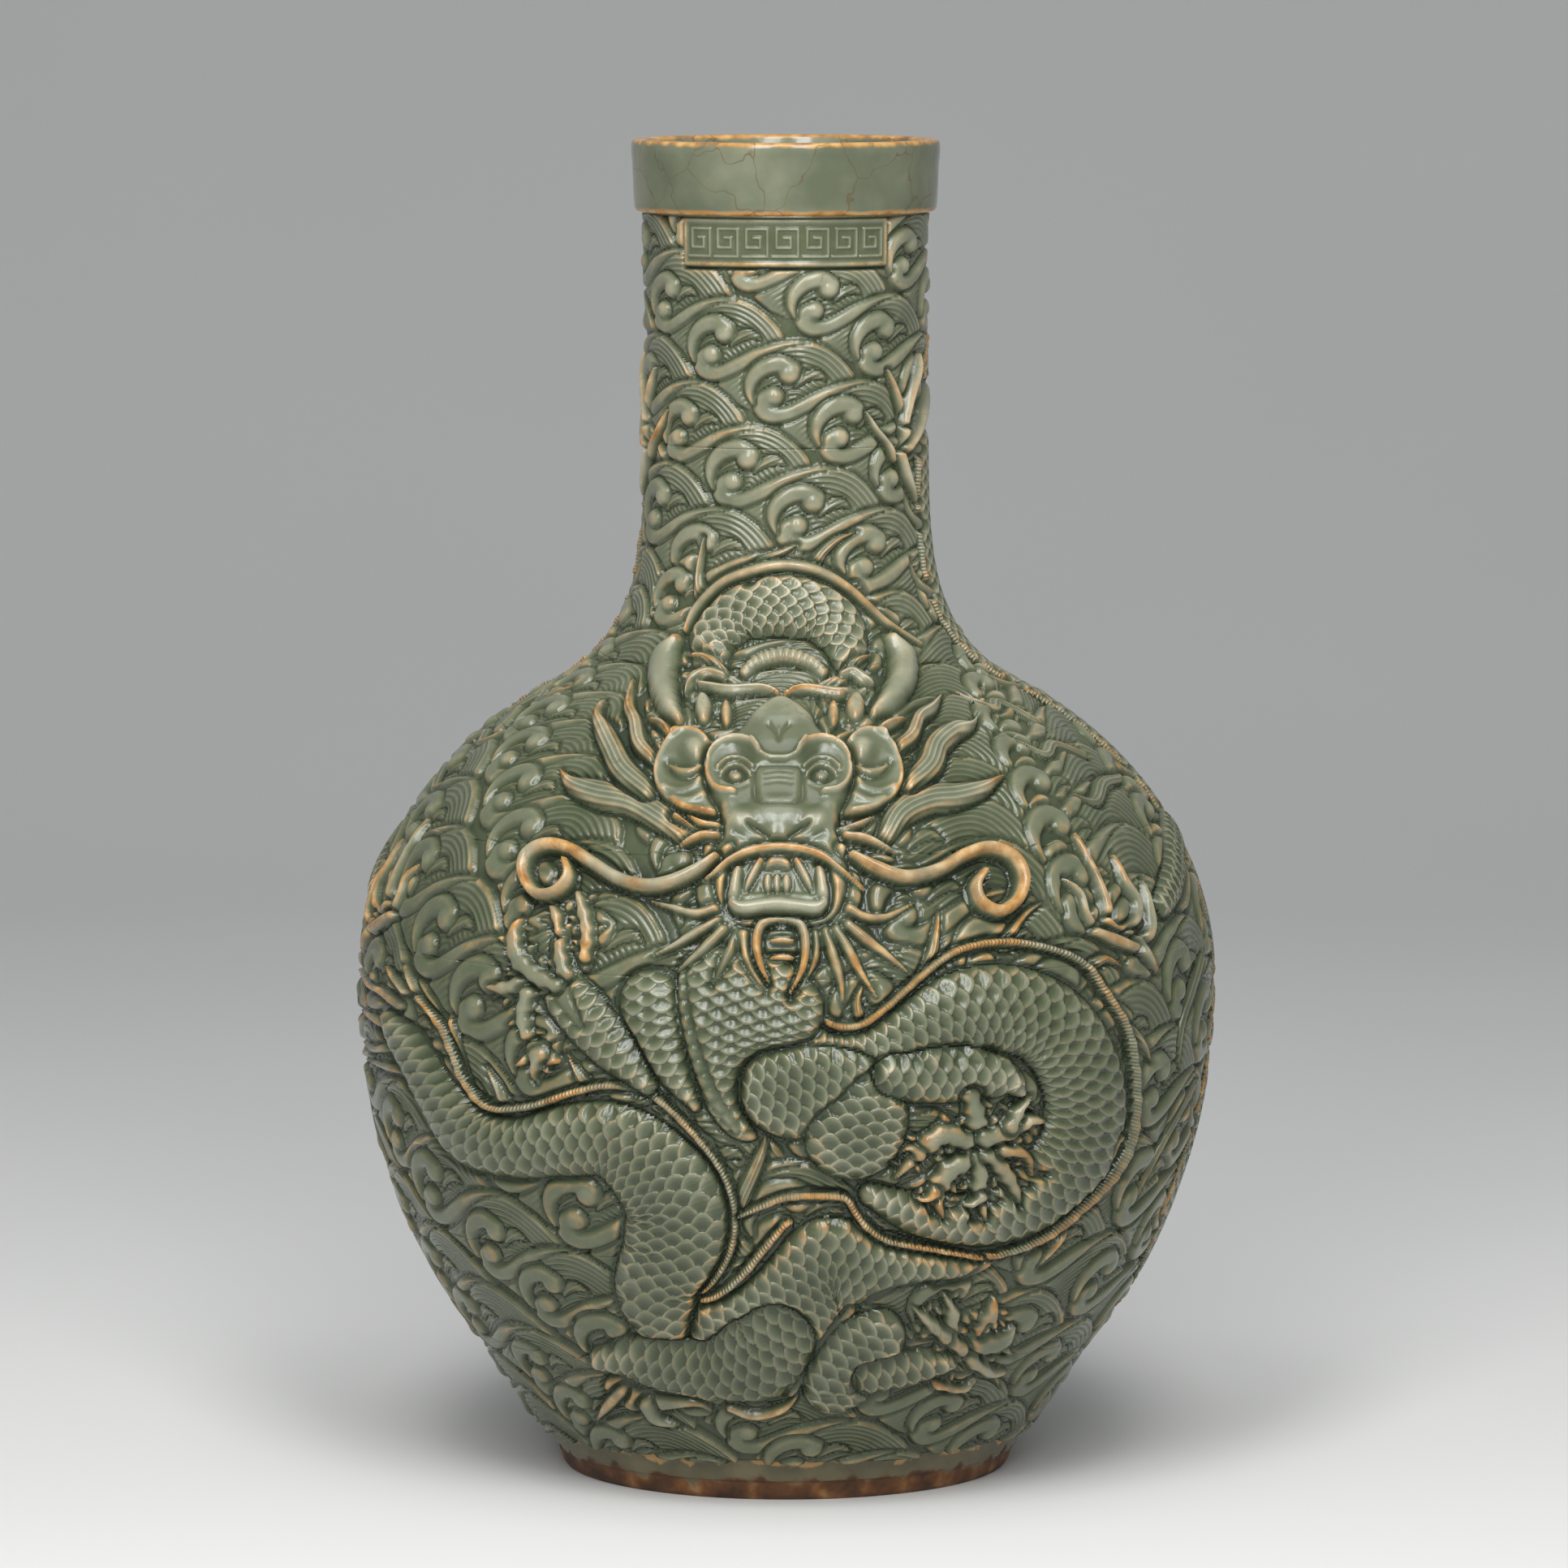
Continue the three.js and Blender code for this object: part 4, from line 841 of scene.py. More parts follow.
def lay_body():
    """Both coils with their fins and ridges, the neck's arch, the left foreleg, the chest and the hip."""
    for flame in TAIL_FLAMES:
        strap(flame, 2.2, "left_coil", 0.8)
    strap(LEFT_COIL, 1.6, "left_coil", 3.6, detail=scales(-1), rise=5)
    lay_fins("left_coil", 2.0)
    strap(LEFT_RIDGE, 2.4, "left_coil", 1.0, sink=0.9, detail=hatched)
    strap(LEFT_UPPER_ARM, 2.0, "left_foreleg", 3.0, sink=0.7, detail=scales(1, 0.5, 2.2, 8.5), rise=6)
    strap(LEFT_FOREARM, 2.2, "left_foreleg", 2.8, sink=0.7, detail=scales(1, 0.5, 2.2, 8.5), rise=6)
    strap(LEFT_WRIST, 3.0, "left_foreleg", 1.4, sink=0.3)
    strap(ARCH, 1.2, "arch", 3.4, detail=scales(1, 0.7, 2.4, 6.0), rise=5)
    lay_fins("arch", 1.8)
    strap(ARCH_RIDGE, 2.4, "arch", 1.0, sink=0.9)
    strap(ARCH_FLOW_PLATES, 2.8, "arch", 0.8, sink=0.4, detail=plates(1.9, 0.8))
    strap(NECK_AND_RIGHT_COIL, 1.6, "right_coil", 3.6, detail=scales(), rise=5)
    lay_fins("right_coil", 2.0)
    strap(RIGHT_RIDGE, 2.4, "right_coil", 1.0, sink=0.9, detail=hatched)
    patch(CHEST, 1.8, "chest", 3.0, 8.0, sink=0.6, rise=3.0, detail=scaled_from(CHEST_FLOW))
    strap(BELLY_PLATES, 2.6, "chest", 0.8, sink=0.3, detail=plates(4.6, 1.0))

    patch(HIP, 1.8, "hip", 3.0, 9.0, sink=0.7, rise=3.0, detail=scaled_from(HIP_FLOW))
    strap(LOW_RIDGE, 2.6, "hip", 1.0, sink=0.9, detail=hatched)
    strap(MIDDLE_RIDGE, 2.6, "left_coil", 1.0, sink=0.9, detail=hatched)
    strap(HIND_PLATES, 3.0, "hip", 0.8, sink=0.6, detail=plates(4.0, 0.7))


SPUR_SPACING = 17
SPUR_LENGTH = 12
SPUR_LEAN = 6


def knuckled(points, top, name):
    """A finger of a claw: knobbly, with short spurs on both sides."""
    curve = smooth(points)
    lengths = np.concatenate([[0], np.cumsum(np.hypot(np.diff(curve[:, 0]), np.diff(curve[:, 1])))])
    for k, at in enumerate(np.arange(SPUR_SPACING * 0.6, lengths[-1] - SPUR_SPACING * 0.7, SPUR_SPACING)):
        i = min(int(np.searchsorted(lengths, at)), len(curve) - 2)
        (x, y, half), (dx, dy) = curve[i], curve[i + 1, :2] - curve[i, :2]
        size = math.hypot(dx, dy) or 1.0
        dx, dy = dx / size, dy / size
        side = 1 if k % 2 else -1
        spur = [(x, y, half * 0.8)]
        for out, on, width in ((half, 2, half * 0.6), (half + SPUR_LENGTH, SPUR_LEAN, 0.8)):
            spur.append((x - side * dy * out + dx * on, y + side * dx * out + dy * on, width))
        strap(spur, top, name, 1.0, sink=0.6, rise=1.4)
    swollen = [(x, y, half * (0.95 + 0.12 * math.cos(2 * math.pi * at / SPUR_SPACING)))
               for (x, y, half), at in zip(curve[::2], lengths[::2])]
    strap(swollen, top, name, 2.0, sink=0.55, rise=1.6)


def lay_limbs():
    """The right foreleg, both hind legs and all the claws."""
    thigh = ((RIGHT_SHOULDER, 0.35, 4.0, SHOULDER_FLOW), (RIGHT_ELBOW, 0.3, 5.0, ELBOW_FLOW))
    for outline, sink, rise, flow in thigh:
        patch(outline, 3.0, "right_thigh", 3.0, 9.0, sink=sink, rise=rise, detail=scaled_from(flow))
    strap(RIGHT_FOREARM, 2.8, "right_foreleg", 3.0, sink=0.3, detail=scales(1, 0.6, 2.2, 8.5), rise=6)
    for x, y in KNUCKLES:
        dome(x, y, 10, 12, 1.5, 3)
    for finger in RIGHT_HAND:
        knuckled(finger, 2.6, "right_claw")
    for finger in LEFT_HAND:
        knuckled(finger, 2.2, "left_claw")
    strap(LEFT_HIND_LEG, 2.2, "left_hind_leg", 3.2, sink=0.4, detail=scales(-1), rise=6)
    for toe in LEFT_HIND_CLAW:
        strap(toe, 2.4, "left_hind_leg", 1.6, sink=0.75, rise=1.8)
    patch(RIGHT_HIND_KNEE, 2.4, "right_hind_leg", 3.0, 8.0, sink=0.4, rise=4.0, detail=scaled_from(KNEE_FLOW))
    strap(RIGHT_HIND_LEG, 2.4, "right_hind_leg", 2.6, sink=0.4, detail=scales(), rise=4)
    for toe in RIGHT_HIND_CLAW:
        knuckled(toe, 2.2, "right_hind_claw")


def mirrored(points):
    """Points of the face's left half, for its right half."""
    return [(2 * FACE_MIDDLE - x, y, *rest) for x, y, *rest in points]


def unmoved(points):
    """Points of the face's left half as they are."""
    return points


def oval(x, y, rx, ry):
    turn = np.linspace(0, 2 * math.pi, 12, endpoint=False)
    return [(x + rx * math.cos(a), y + ry * math.sin(a)) for a in turn]


def lay_head():
    """The head and what frames it: mane, leaves, horns, ears, cheek fur and beard."""
    for side in ("left", "right"):
        for lock in MANE[side + "_mane"]:
            strap(lock, 2.4, side + "_mane", 2.2, detail=hair(1.6), rise=2.5)
    for leaf in LEAVES:
        strap(leaf, 3.0, "arch", 1.4, sink=0.5, detail=hair())
    for horn, name in ((LEFT_HORN, "left_horn"), (RIGHT_HORN, "right_horn")):
        strap(horn, 2.6, name, 2.6, sink=0.4, rise=4)
    for outline, name in ((LEFT_EAR, "left_ear"), (mirrored(LEFT_EAR), "right_ear")):
        patch(outline, 3.2, name, 1.0, 3.0)
    patch(CHEEK_FUR, 2.2, "beard", 1.2, 4.0, sink=0.6)
    for thorn in BEARD:
        strap(thorn, 2.8, "beard", 1.5, sink=0.4, rise=1.9)
    patch(HEAD, 3.6, "head", 1.6, 6.0, rise=3.0, sink=0.5)
    for x, y, rx, ry in LOBES:
        patch(oval(x, y, rx, ry), 2.6, "head", 1.6, 3.0, sink=0.4, rise=2.0)
    for thorn in BEARD[-6:]:
        strap(thorn, 4.2, "beard", 1.2, sink=0.4, rise=2.0)
    strap(CHIN_LOOP, 5.0, "beard", 1.4, sink=0.7, rise=1.4)


def lay_eye(place):
    """A ring like a goggle, two lids and an eyeball in its bowl."""
    (x, y), = place([(907, 957)])
    dome(x, y, 25, 23, -1.8, 5)
    groove(place(EYE_RING), 2.4, 3.0)
    groove(place(UPPER_LID), 1.8, 2.3)
    groove(place(LOWER_LID), 1.6, 2.1)
    (x, y), = place([(908, 968)])
    patch(oval(x, y, 9, 7), 4.2, "head", 0.9, 1.6, sink=0.2, rise=1.0)
    groove(place(EYE_BAG), 0.9, 2.2)


def lay_ear(place, name):
    """A bowl with a rim, a fold and lobes."""
    (x, y), = place([(843, 966)])
    dome(x, y, 24, 28, -1.1, 4)
    groove(place(EAR_RIM), 1.5, 3.4)
    groove(place(EAR_TOP), 1.4, 3.4)
    strap(place(EAR_FOLD), 3.4, name, 0.9, sink=0.3, rise=1.2)
    for lobe in EAR_LOBES:
        groove(place(lobe), 0.9, 4.0)
    (x, y), = place([(859, 934)])
    dome(x, y, 12, 12, 1.9, 3)


def lay_mouth():
    """Jaw, open mouth, teeth and fangs, and both lips."""
    patch(JAW, 4.0, "head", 0.8, 2.0, sink=0.95, rise=1.4)
    patch(MOUTH, 2.7, "head", 0.0, 2.0, sink=0.2, rise=1.0)
    strap(UPPER_TEETH, 3.8, "head", 0.8, sink=0.2, rise=1.4)
    for x in (947, 958, 969):
        patch(oval(x, 1093, 5.5, 12), 3.9, "head", 0.8, 1.2, sink=0.3, rise=1.0)
    for place in (unmoved, mirrored):
        strap(place(FANG), 4.0, "head", 1.0, sink=0.35, rise=1.4)
        strap(place(JAW_SIDE), 4.3, "head", 0.8, sink=0.2, rise=1.4)
    strap(LOWER_LIP, 4.4, "head", 1.0, sink=0.2, rise=2.4)
    strap(UPPER_LIP, 5.2, "head", 0.9, sink=0.4, rise=1.3)


def lay_face():
    """Forehead, brows, eyes, ears, nose, mouth and whiskers, as mounds, lines and small forms on the head."""
    dome(962, 888, 46, 21, 2.0, 5)
    dome(960, 920, 40, 16, 0.9, 3)
    groove([(948, 912), (957, 921), (960, 928), (963, 921), (972, 912)], -0.55, 2.6)
    for place, name in ((unmoved, "left_ear"), (mirrored, "right_ear")):
        lay_eye(place)
        lay_ear(place, name)
        (x, y), = place([(899, 1012)])
        dome(x, y, 14, 20, 0.8, 3)
    groove(BROW, 1.5, 2.6)
    patch(NOSE_BRIDGE, 5.0, "head", 0.4, 2.0, sink=0.15, rise=2.4)
    for y in (965, 971, 977):
        groove([(944, y + 1), (960, y - 1), (976, y + 1)], -0.4, 1.5)
    dome(959, 1013, 32, 16, 1.5, 3)
    dome(959, 1034, 15, 9, 0.8, 3)
    for place in (unmoved, mirrored):
        (x, y), = place([(917, 1022)])
        dome(x, y, 14, 12, 1.6, 3)
        groove(place(NOSTRIL), -1.8, 2.6)
    groove(UNDER_NOSE, -0.5, 3.0)
    lay_mouth()
    for y in (1162, 1182):
        strap([(952, y, 3), (964, y - 1, 4.5), (976, y, 3)], 4.4, "beard", 0.8, sink=0.4, rise=1)
    for name, points in WHISKERS.items():
        strap(points, 5.2, name, 1.6, sink=0.85, rise=1.9)


# The climbing dragon of each side, whose coil shows at the front view's edge. Its points are an azimuth in
# degrees, and a height and a half width in millimetres. Those of the talons are pixels of the front view.

SIDE_NECK = [
    (113, 341, 6.5), (104, 343, 7.4), (93, 338, 8.0), (84, 324, 8.2), (80.5, 302, 8.4), (79, 280, 8.6),
    (80.5, 262, 8.8), (83, 249, 8.2),
]
SIDE_BELLY = [
    (84, 248, 8.0), (89, 234, 9.2), (90.5, 206, 11.2), (91, 176, 13.0), (90.4, 146, 13.8), (87, 116, 13.2),
    (81, 92, 12.0), (83, 69, 10.2), (93, 52, 7.0), (104, 41, 3.2),
]
SIDE_RIDGE_SHIFT = 0.94
SIDE_FIN_HEIGHTS = [318, 296, 272, 238, 214, 190, 162, 132, 104, 76]
SIDE_FIN = [(6, 0, 9), (-14, 10, 7), (-26, 26, 4), (-30, 44, 1)]
SIDE_HEAD = [
    (122, 334), (126, 342), (133, 346), (141, 343), (148, 336), (153, 328), (150, 320), (142, 315),
    (133, 316), (124, 322),
]
SIDE_JAW = [(126, 320, 4.5), (134, 314, 4.2), (143, 311, 3.6), (151, 314, 2.0)]
SIDE_HORN = [(126, 344, 2.6), (119, 354, 2.6), (111, 361, 1.8), (105, 364, 0.5)]
SIDE_MANE = [
    [(122, 330, 3.0), (110, 322, 3.4), (100, 312, 2.4), (96, 302, 0.5)],
    [(124, 324, 3.0), (114, 312, 3.2), (106, 300, 2.2), (104, 290, 0.5)],
    [(128, 318, 2.6), (121, 305, 2.8), (116, 294, 1.8), (116, 284, 0.5)],
]
SIDE_WHISKER = [(149, 326, 1.6), (160, 332, 1.7), (168, 324, 1.6), (164, 314, 1.4), (157, 318, 1.0)]
SIDE_NECK_ARM = [(80, 330, 5.0), (70, 333, 4.4), (62, 328, 3.6), (57, 322, 3.0)]
SIDE_BELLY_ARM = [(88, 196, 8.0), (79, 192, 7.0), (70, 184, 6.0), (64, 179, 4.5)]
NECK_TALONS = [
    [
        (1089, 455, 1), (1098, 483, 3.5), (1108, 520, 4.5), (1109, 552, 6), (1098, 566, 5), (1088, 547, 4.5),
        (1074, 528, 4), (1064, 508, 1),
    ],
    [(1126, 434, 1), (1123, 460, 4), (1114, 492, 4.5), (1108, 520, 4)],
    [(1134, 470, 1), (1131, 500, 4), (1124, 530, 5), (1110, 556, 5)],
    [(1104, 560, 5), (1112, 590, 5), (1122, 618, 1)],
]
BELLY_TALONS = [
    [
        (1319, 1029, 1), (1332, 1057, 4), (1347, 1088, 5), (1359, 1127, 6.5), (1347, 1146, 6),
        (1333, 1129, 5), (1325, 1103, 4.5), (1306, 1084, 1),
    ],
    [
        (1366, 1055, 1), (1380, 1088, 4.5), (1395, 1114, 6), (1391, 1138, 6.5), (1372, 1147, 6),
        (1358, 1136, 5),
    ],
    [(1402, 1086, 1), (1408, 1114, 4.5), (1412, 1144, 6), (1402, 1162, 7), (1386, 1152, 6)],
    [(1396, 1160, 7), (1408, 1180, 6), (1420, 1200, 1)],
    [(1345, 1150, 7), (1365, 1158, 9), (1390, 1168, 8)],
]
SIDE_FLAMES = [
    [(64, 232, 2.2), (59, 238, 2.6), (54, 237, 2.2), (48, 242, 0.5)],
    [(68, 222, 2.2), (61, 226, 2.6), (55, 224, 2.2), (50, 229, 0.5)],
    [(74, 214, 2.2), (66, 214, 2.8), (59, 210, 2.2), (54, 213, 0.5)],
    [(76, 160, 2.4), (70, 152, 3.0), (66, 142, 2.4), (66, 130, 0.5)],
    [(74, 122, 2.4), (67, 112, 3.0), (62, 100, 2.2), (60, 90, 0.5)],
    [(104, 222, 2.4), (111, 212, 3.0), (115, 200, 2.4), (120, 190, 0.5)],
    [(106, 170, 2.4), (113, 160, 3.0), (117, 148, 2.4), (122, 140, 0.5)],
    [(100, 120, 2.4), (108, 110, 3.0), (113, 98, 2.4), (119, 92, 0.5)],
]


def on_side_strap(points):
    """A side dragon's points as pixels of its sheet."""
    return [(*on_side(degrees, z), half / MM_PER_PIXEL) for degrees, z, half in points]


def ridge_beside(points, share):
    """A line that runs along one edge of a body."""
    curve = smooth(on_side_strap(points), SIDE_RIDGE_STEP)
    step = np.gradient(curve[:, :2], axis=0)
    step /= np.hypot(step[:, 0], step[:, 1])[:, None]
    return [(x + dy * half * share, y - dx * half * share, 5) for (x, y, half), (dx, dy) in zip(curve, step)]


# Degrees by which the left dragon sits further round than the right one.
LEFT_FURTHER_ROUND = 22
NECK_FINS_ABOVE = 250


def lay_side(side):
    """The climbing dragon on the right where side is 1, and on the left where it is -1."""
    global drawing
    name = "right_dragon_" if side > 0 else "left_dragon_"
    turn = 0 if side > 0 else LEFT_FURTHER_ROUND
    drawing = side_sheet(side, turn)
    for flame in SIDE_FLAMES:
        strap(on_side_strap(flame), 1.2, name + "belly_coil", 1.2, detail=hair())
    strap(on_side_strap(SIDE_BELLY), 0.8, name + "belly_coil", 1.9, detail=scales(1, 0.5), rise=4)
    strap(on_side_strap(SIDE_NECK), 0.8, name + "neck_coil", 1.9, detail=scales(1, 0.5, 2.3, 6.0), rise=3.5)
    for body, part in ((SIDE_BELLY, "belly_coil"), (SIDE_NECK, "neck_coil")):
        ridge = ridge_beside(body, -SIDE_RIDGE_SHIFT)
        strap(ridge, 2.0, name + part, 0.7, sink=0.9, detail=hatched)
        for z in (z for z in SIDE_FIN_HEIGHTS if (z > NECK_FINS_ABOVE) == (part == "neck_coil")):
            x, y, _ = min(ridge, key=lambda p: abs(p[1] + np.interp(z, ROW_Z, ARC) / MM_PER_PIXEL))
            strap([(x + right, y - up, half) for right, up, half in SIDE_FIN], 1.2, name + part, 0.9)
    strap(on_side_strap(SIDE_NECK_ARM), 1.4, name + "neck_claw", 1.8, detail=scales(1, 0.3, 2.3, 6.0), rise=3)
    strap(on_side_strap(SIDE_BELLY_ARM), 1.4, name + "belly_claw", 2.2, detail=scales(1, 0.4), rise=3)
    for lock in SIDE_MANE:
        strap(on_side_strap(lock), 1.6, name + "head", 1.0, detail=hair())
    strap(on_side_strap(SIDE_HORN), 2.0, name + "head", 1.0)
    strap(on_side_strap(SIDE_JAW), 1.6, name + "head", 1.0)
    patch([on_side(*p) for p in SIDE_HEAD], 1.8, name + "head", 1.4, 5.0)
    x, y = on_side(134, 334)
    groove([(x + 9 * math.cos(a), y + 8 * math.sin(a)) for a in np.linspace(0, 2 * math.pi, 13)], 0.7, 3)
    dome(x, y, 5, 5, 0.6)
    x, y = on_side(149, 330)
    dome(x, y, 9, 8, 0.8)
    strap(on_side_strap(SIDE_WHISKER), 2.2, name + "head", 0.8)
    drawing = FRONT if side > 0 else mirrored_sheet(FRONT, -turn)
    for talons, claw, top, crown, rise in ((NECK_TALONS, "neck_claw", 2.2, 1.6, 1.4),
                                           (BELLY_TALONS, "belly_claw", 2.0, 1.8, 1.6)):
        for talon in talons:
            strap(talon, top, name + claw, crown, sink=0.8, rise=rise)
    drawing = FRONT


def lay_front():
    lay_body()
    lay_limbs()
    lay_head()
    lay_face()


def turn_half_round():
    """Turns the whole field, so that what is laid at the front next lies where the back was."""
    global height, owner, pattern
    height, owner = np.roll(height, COLUMNS // 2, 1), np.roll(owner, COLUMNS // 2, 1)
    pattern = np.roll(pattern, COLUMNS // 2, 2)


lay_waves()
clear_for_tablet()
lay_side(1)
lay_side(-1)

# The back dragon is the front one, laid first on the back. Its ears and horns are of one piece with its head.
turn_half_round()
front_names = len(owners)
lay_front()
back_owner = owner.copy()
for number in range(front_names, len(owners)):
    part = owners[number]
    keep = "head" if part.endswith(("_horn", "_ear")) else part
    back_owner[owner == number] = owner_number("back_dragon_" + keep)
owner = back_owner
turn_half_round()
lay_front()
for number in range(front_names, len(owners)):
    if not owners[number].startswith("back_"):
        owners[number] = "front_dragon_" + owners[number]


# Hollows and edges of the relief, which the glaze's colour follows

def blurred(field, reach):
    """The field's mean over a reach in millimetres each way along the wall, taken twice."""
    cells = np.maximum(1, np.round(reach / (ROW_RADIUS * 2 * np.pi / COLUMNS))).astype(int)[:, None]
    line = np.arange(ROWS)[:, None]
    column = np.arange(COLUMNS)[None, :] + COLUMNS
    up = max(1, int(round(reach / ROW_STEP)))
    for _ in range(2):
        total = np.cumsum(np.tile(field, 3), 1)
        field = (total[line, column + cells] - total[line, column - cells - 1]) / (2 * cells + 1)
        total = np.cumsum(np.pad(field, ((up + 1, up), (0, 0)), "edge"), 0)
        field = (total[2 * up + 1:] - total[:-2 * up - 1]) / (2 * up + 1)
    return field


CLOSE_REACH = 1.9
WIDE_REACH = 5.0
EDGE_REACH = 1.0

hollow = height - 0.5 * (blurred(height, CLOSE_REACH) + blurred(height, WIDE_REACH))
crisp = height - blurred(height, EDGE_REACH)


def sheltered(outline, share, paler=0.0):
    """Inside an outline less of the body shows and the glaze is paler, on the front dragon and the back one."""
    ring = closed_ring(outline)
    rows, cols, x, y = window(ring[:, 0], ring[:, 1])
    inside = np.clip(inside_outline(ring, x, y), 0, 1)
    for turn in (0, COLUMNS // 2):
        columns = np.mod(np.arange(cols.start, cols.stop) + turn, COLUMNS)
        crisp[rows, columns] *= 1 - (1 - share) * inside
        hollow[rows, columns] += paler * inside


sheltered(JAW, 0.5, 0.6)
sheltered(CHEEK_FUR, 0.75)


# Meshes cut from the height field

MILLIMETRE = 0.001


def round_axis(radius, azimuth, z):
    """Points in metres round the vase's axis, from radii and heights in millimetres."""
    across, towards = radius * np.sin(azimuth), -radius * np.cos(azimuth)
    return np.stack([across, towards, z + 0 * azimuth], -1).reshape(-1, 3) * MILLIMETRE


def points_on_wall(rows, cols, lift):
    """Points at a lift in millimetres, square to the wall."""
    slope = ROW_SLOPE[rows]
    tilt = np.hypot(1, slope)
    radius, z = ROW_RADIUS[rows] + lift / tilt, ROW_Z[rows] - lift * slope / tilt
    return round_axis(radius, AZIMUTH[np.mod(cols, COLUMNS)], z)


# What each vertex tells the glaze.
MARKS = ("hollow", "crisp", "comb", "combed", "scale_row", "scale_across", "scaled")


def marks_at(rows, cols):
    cols = np.mod(cols, COLUMNS)
    return np.stack([hollow[rows, cols], crisp[rows, cols], *pattern[:, rows, cols]], 1)


class Skin:
    """Gathers vertices and faces, and makes one closed mesh of them."""

    def __init__(self):
        self.points, self.loops, self.counts, self.marks, self.smooth = [], [], [], [], []
        self.total = 0

    def add_points(self, points, marks=None):
        first = self.total
        self.points.append(points)
        self.marks.append(np.zeros((len(points), len(MARKS))) if marks is None else marks)
        self.total += len(points)
        return first

    def add_faces(self, faces, smooth=True):
        faces = np.asarray(faces)
        self.smooth.append(np.full(len(faces), smooth))
        self.loops.append(faces.reshape(-1))
        self.counts.append(np.full(len(faces), faces.shape[1]))

    def made(self, name):
        """The piece, with the vertices that its faces use."""
        counts = np.concatenate(self.counts)
        used, loops = np.unique(np.concatenate(self.loops), return_inverse=True)
        points, marks = np.concatenate(self.points)[used], np.concatenate(self.marks)[used]
        mesh = bpy.data.meshes.new(name)
        mesh.vertices.add(len(points))
        mesh.vertices.foreach_set("co", points.astype(np.float32).reshape(-1))
        mesh.loops.add(len(loops))
        mesh.loops.foreach_set("vertex_index", loops.astype(np.int32))
        mesh.polygons.add(len(counts))
        mesh.polygons.foreach_set("loop_start", (np.cumsum(counts) - counts).astype(np.int32))
        mesh.update(calc_edges=True)
        for i, mark in enumerate(MARKS):
            layer = mesh.attributes.new(mark, "FLOAT", "POINT")
            layer.data.foreach_set("value", marks[:, i].astype(np.float32))
        mesh.polygons.foreach_set("use_smooth", np.concatenate(self.smooth))
        mesh.update()
        return linked(name, mesh)


def linked(name, data):
    """A new object of the scene."""
    thing = bpy.data.objects.new(name, data)
    bpy.context.collection.objects.link(thing)
    return thing


# Corners of a face in the order that turns it to the other side.
TURNED_OVER = [0, 3, 2, 1]


def quads(at, rows, cols, up=1, on=1):
    """Faces of the cells that start at rows and columns. at gives the vertex of a row and a column."""
    return np.stack([at(rows, cols), at(rows, cols + on), at(rows + up, cols + on), at(rows + up, cols)], 1)


def pairs(rows, cols):
    """Each row with each column, as two flat lists."""
    rows, cols = np.meshgrid(rows, cols, indexing="ij")
    return rows.reshape(-1), cols.reshape(-1)


def grown(mask):
    """A mask with the cells that touch it."""
    mask = mask | np.roll(mask, 1, 1) | np.roll(mask, -1, 1)
    up = np.zeros_like(mask)
    up[1:] |= mask[:-1]
    up[:-1] |= mask[1:]
    return mask | up


def inward_cells(mask, most):
    """How many cells each point lies inside a mask, up to a most."""
    count = np.zeros(mask.shape)
    outside = ~mask
    for _ in range(most):
        count += ~outside
        outside = grown(outside)
    return count


# Under a sprig the wall falls away from its edge, and its flange does outside it: each by a step and a slope.
CELL = 0.65
DEEPEST = 5
UNDER_STEP = 0.3
UNDER_FALL = 2.4
SUNK_LIFT = -1.0
FLANGE_STEP = 0.15
FLANGE_FALL = 1.6
FLANGE_LOW = -1.9

covered = owner > 0
cover_cells = inward_cells(covered, DEEPEST)
under_sprigs = np.maximum(height - UNDER_STEP - UNDER_FALL * CELL * (cover_cells - 1), SUNK_LIFT)
wall_lift = np.where(covered, under_sprigs, height)
wall_lift[cover_cells >= DEEPEST] = SUNK_LIFT
block_rows = (ROWS - 1) // BLOCK
block_cols = COLUMNS // BLOCK


def block_all(mask):
    """True for each block whose points are all in a mask, its shared edges among them."""
    out = np.ones((block_rows, block_cols), bool)
    for r, c in zip(*pairs(range(BLOCK + 1), range(BLOCK + 1))):
        rows = np.arange(block_rows) * BLOCK + r
        cols = np.mod(np.arange(block_cols) * BLOCK + c, COLUMNS)
        out &= mask[rows[:, None], cols[None, :]]
    return out


def add_relief(skin, at, first, block_r, block_c):
    """The faces of each cell of some blocks."""
    for r, c in zip(*pairs(range(BLOCK), range(BLOCK))):
        skin.add_faces(quads(at, first + block_r * BLOCK + r, block_c * BLOCK + c))


def block_sides(blocks, i, j):
    """A block's four sides: where each starts and ends, and whether one of the blocks lies beyond it."""
    beyond = (
        i > 0 and blocks[i - 1, j],
        blocks[i, (j + 1) % block_cols],
        i + 1 < len(blocks) and blocks[i + 1, j],
        blocks[i, j - 1],
    )
    corners = ((0, 0), (0, BLOCK), (BLOCK, BLOCK), (BLOCK, 0))
    return zip(corners, corners[1:] + corners[:1], beyond)


def along_side(at, row, col, start, end, steps, order):
    """Vertices of a block's side, in an order of its steps."""
    (r, c), (up, on) = start, (end[0] - start[0], end[1] - start[1])
    return [at(row + r + up * t // steps, col + c + on * t // steps) for t in order]


INNER_COLUMN_STEP = 20
INNER_ROW_STEP = 8


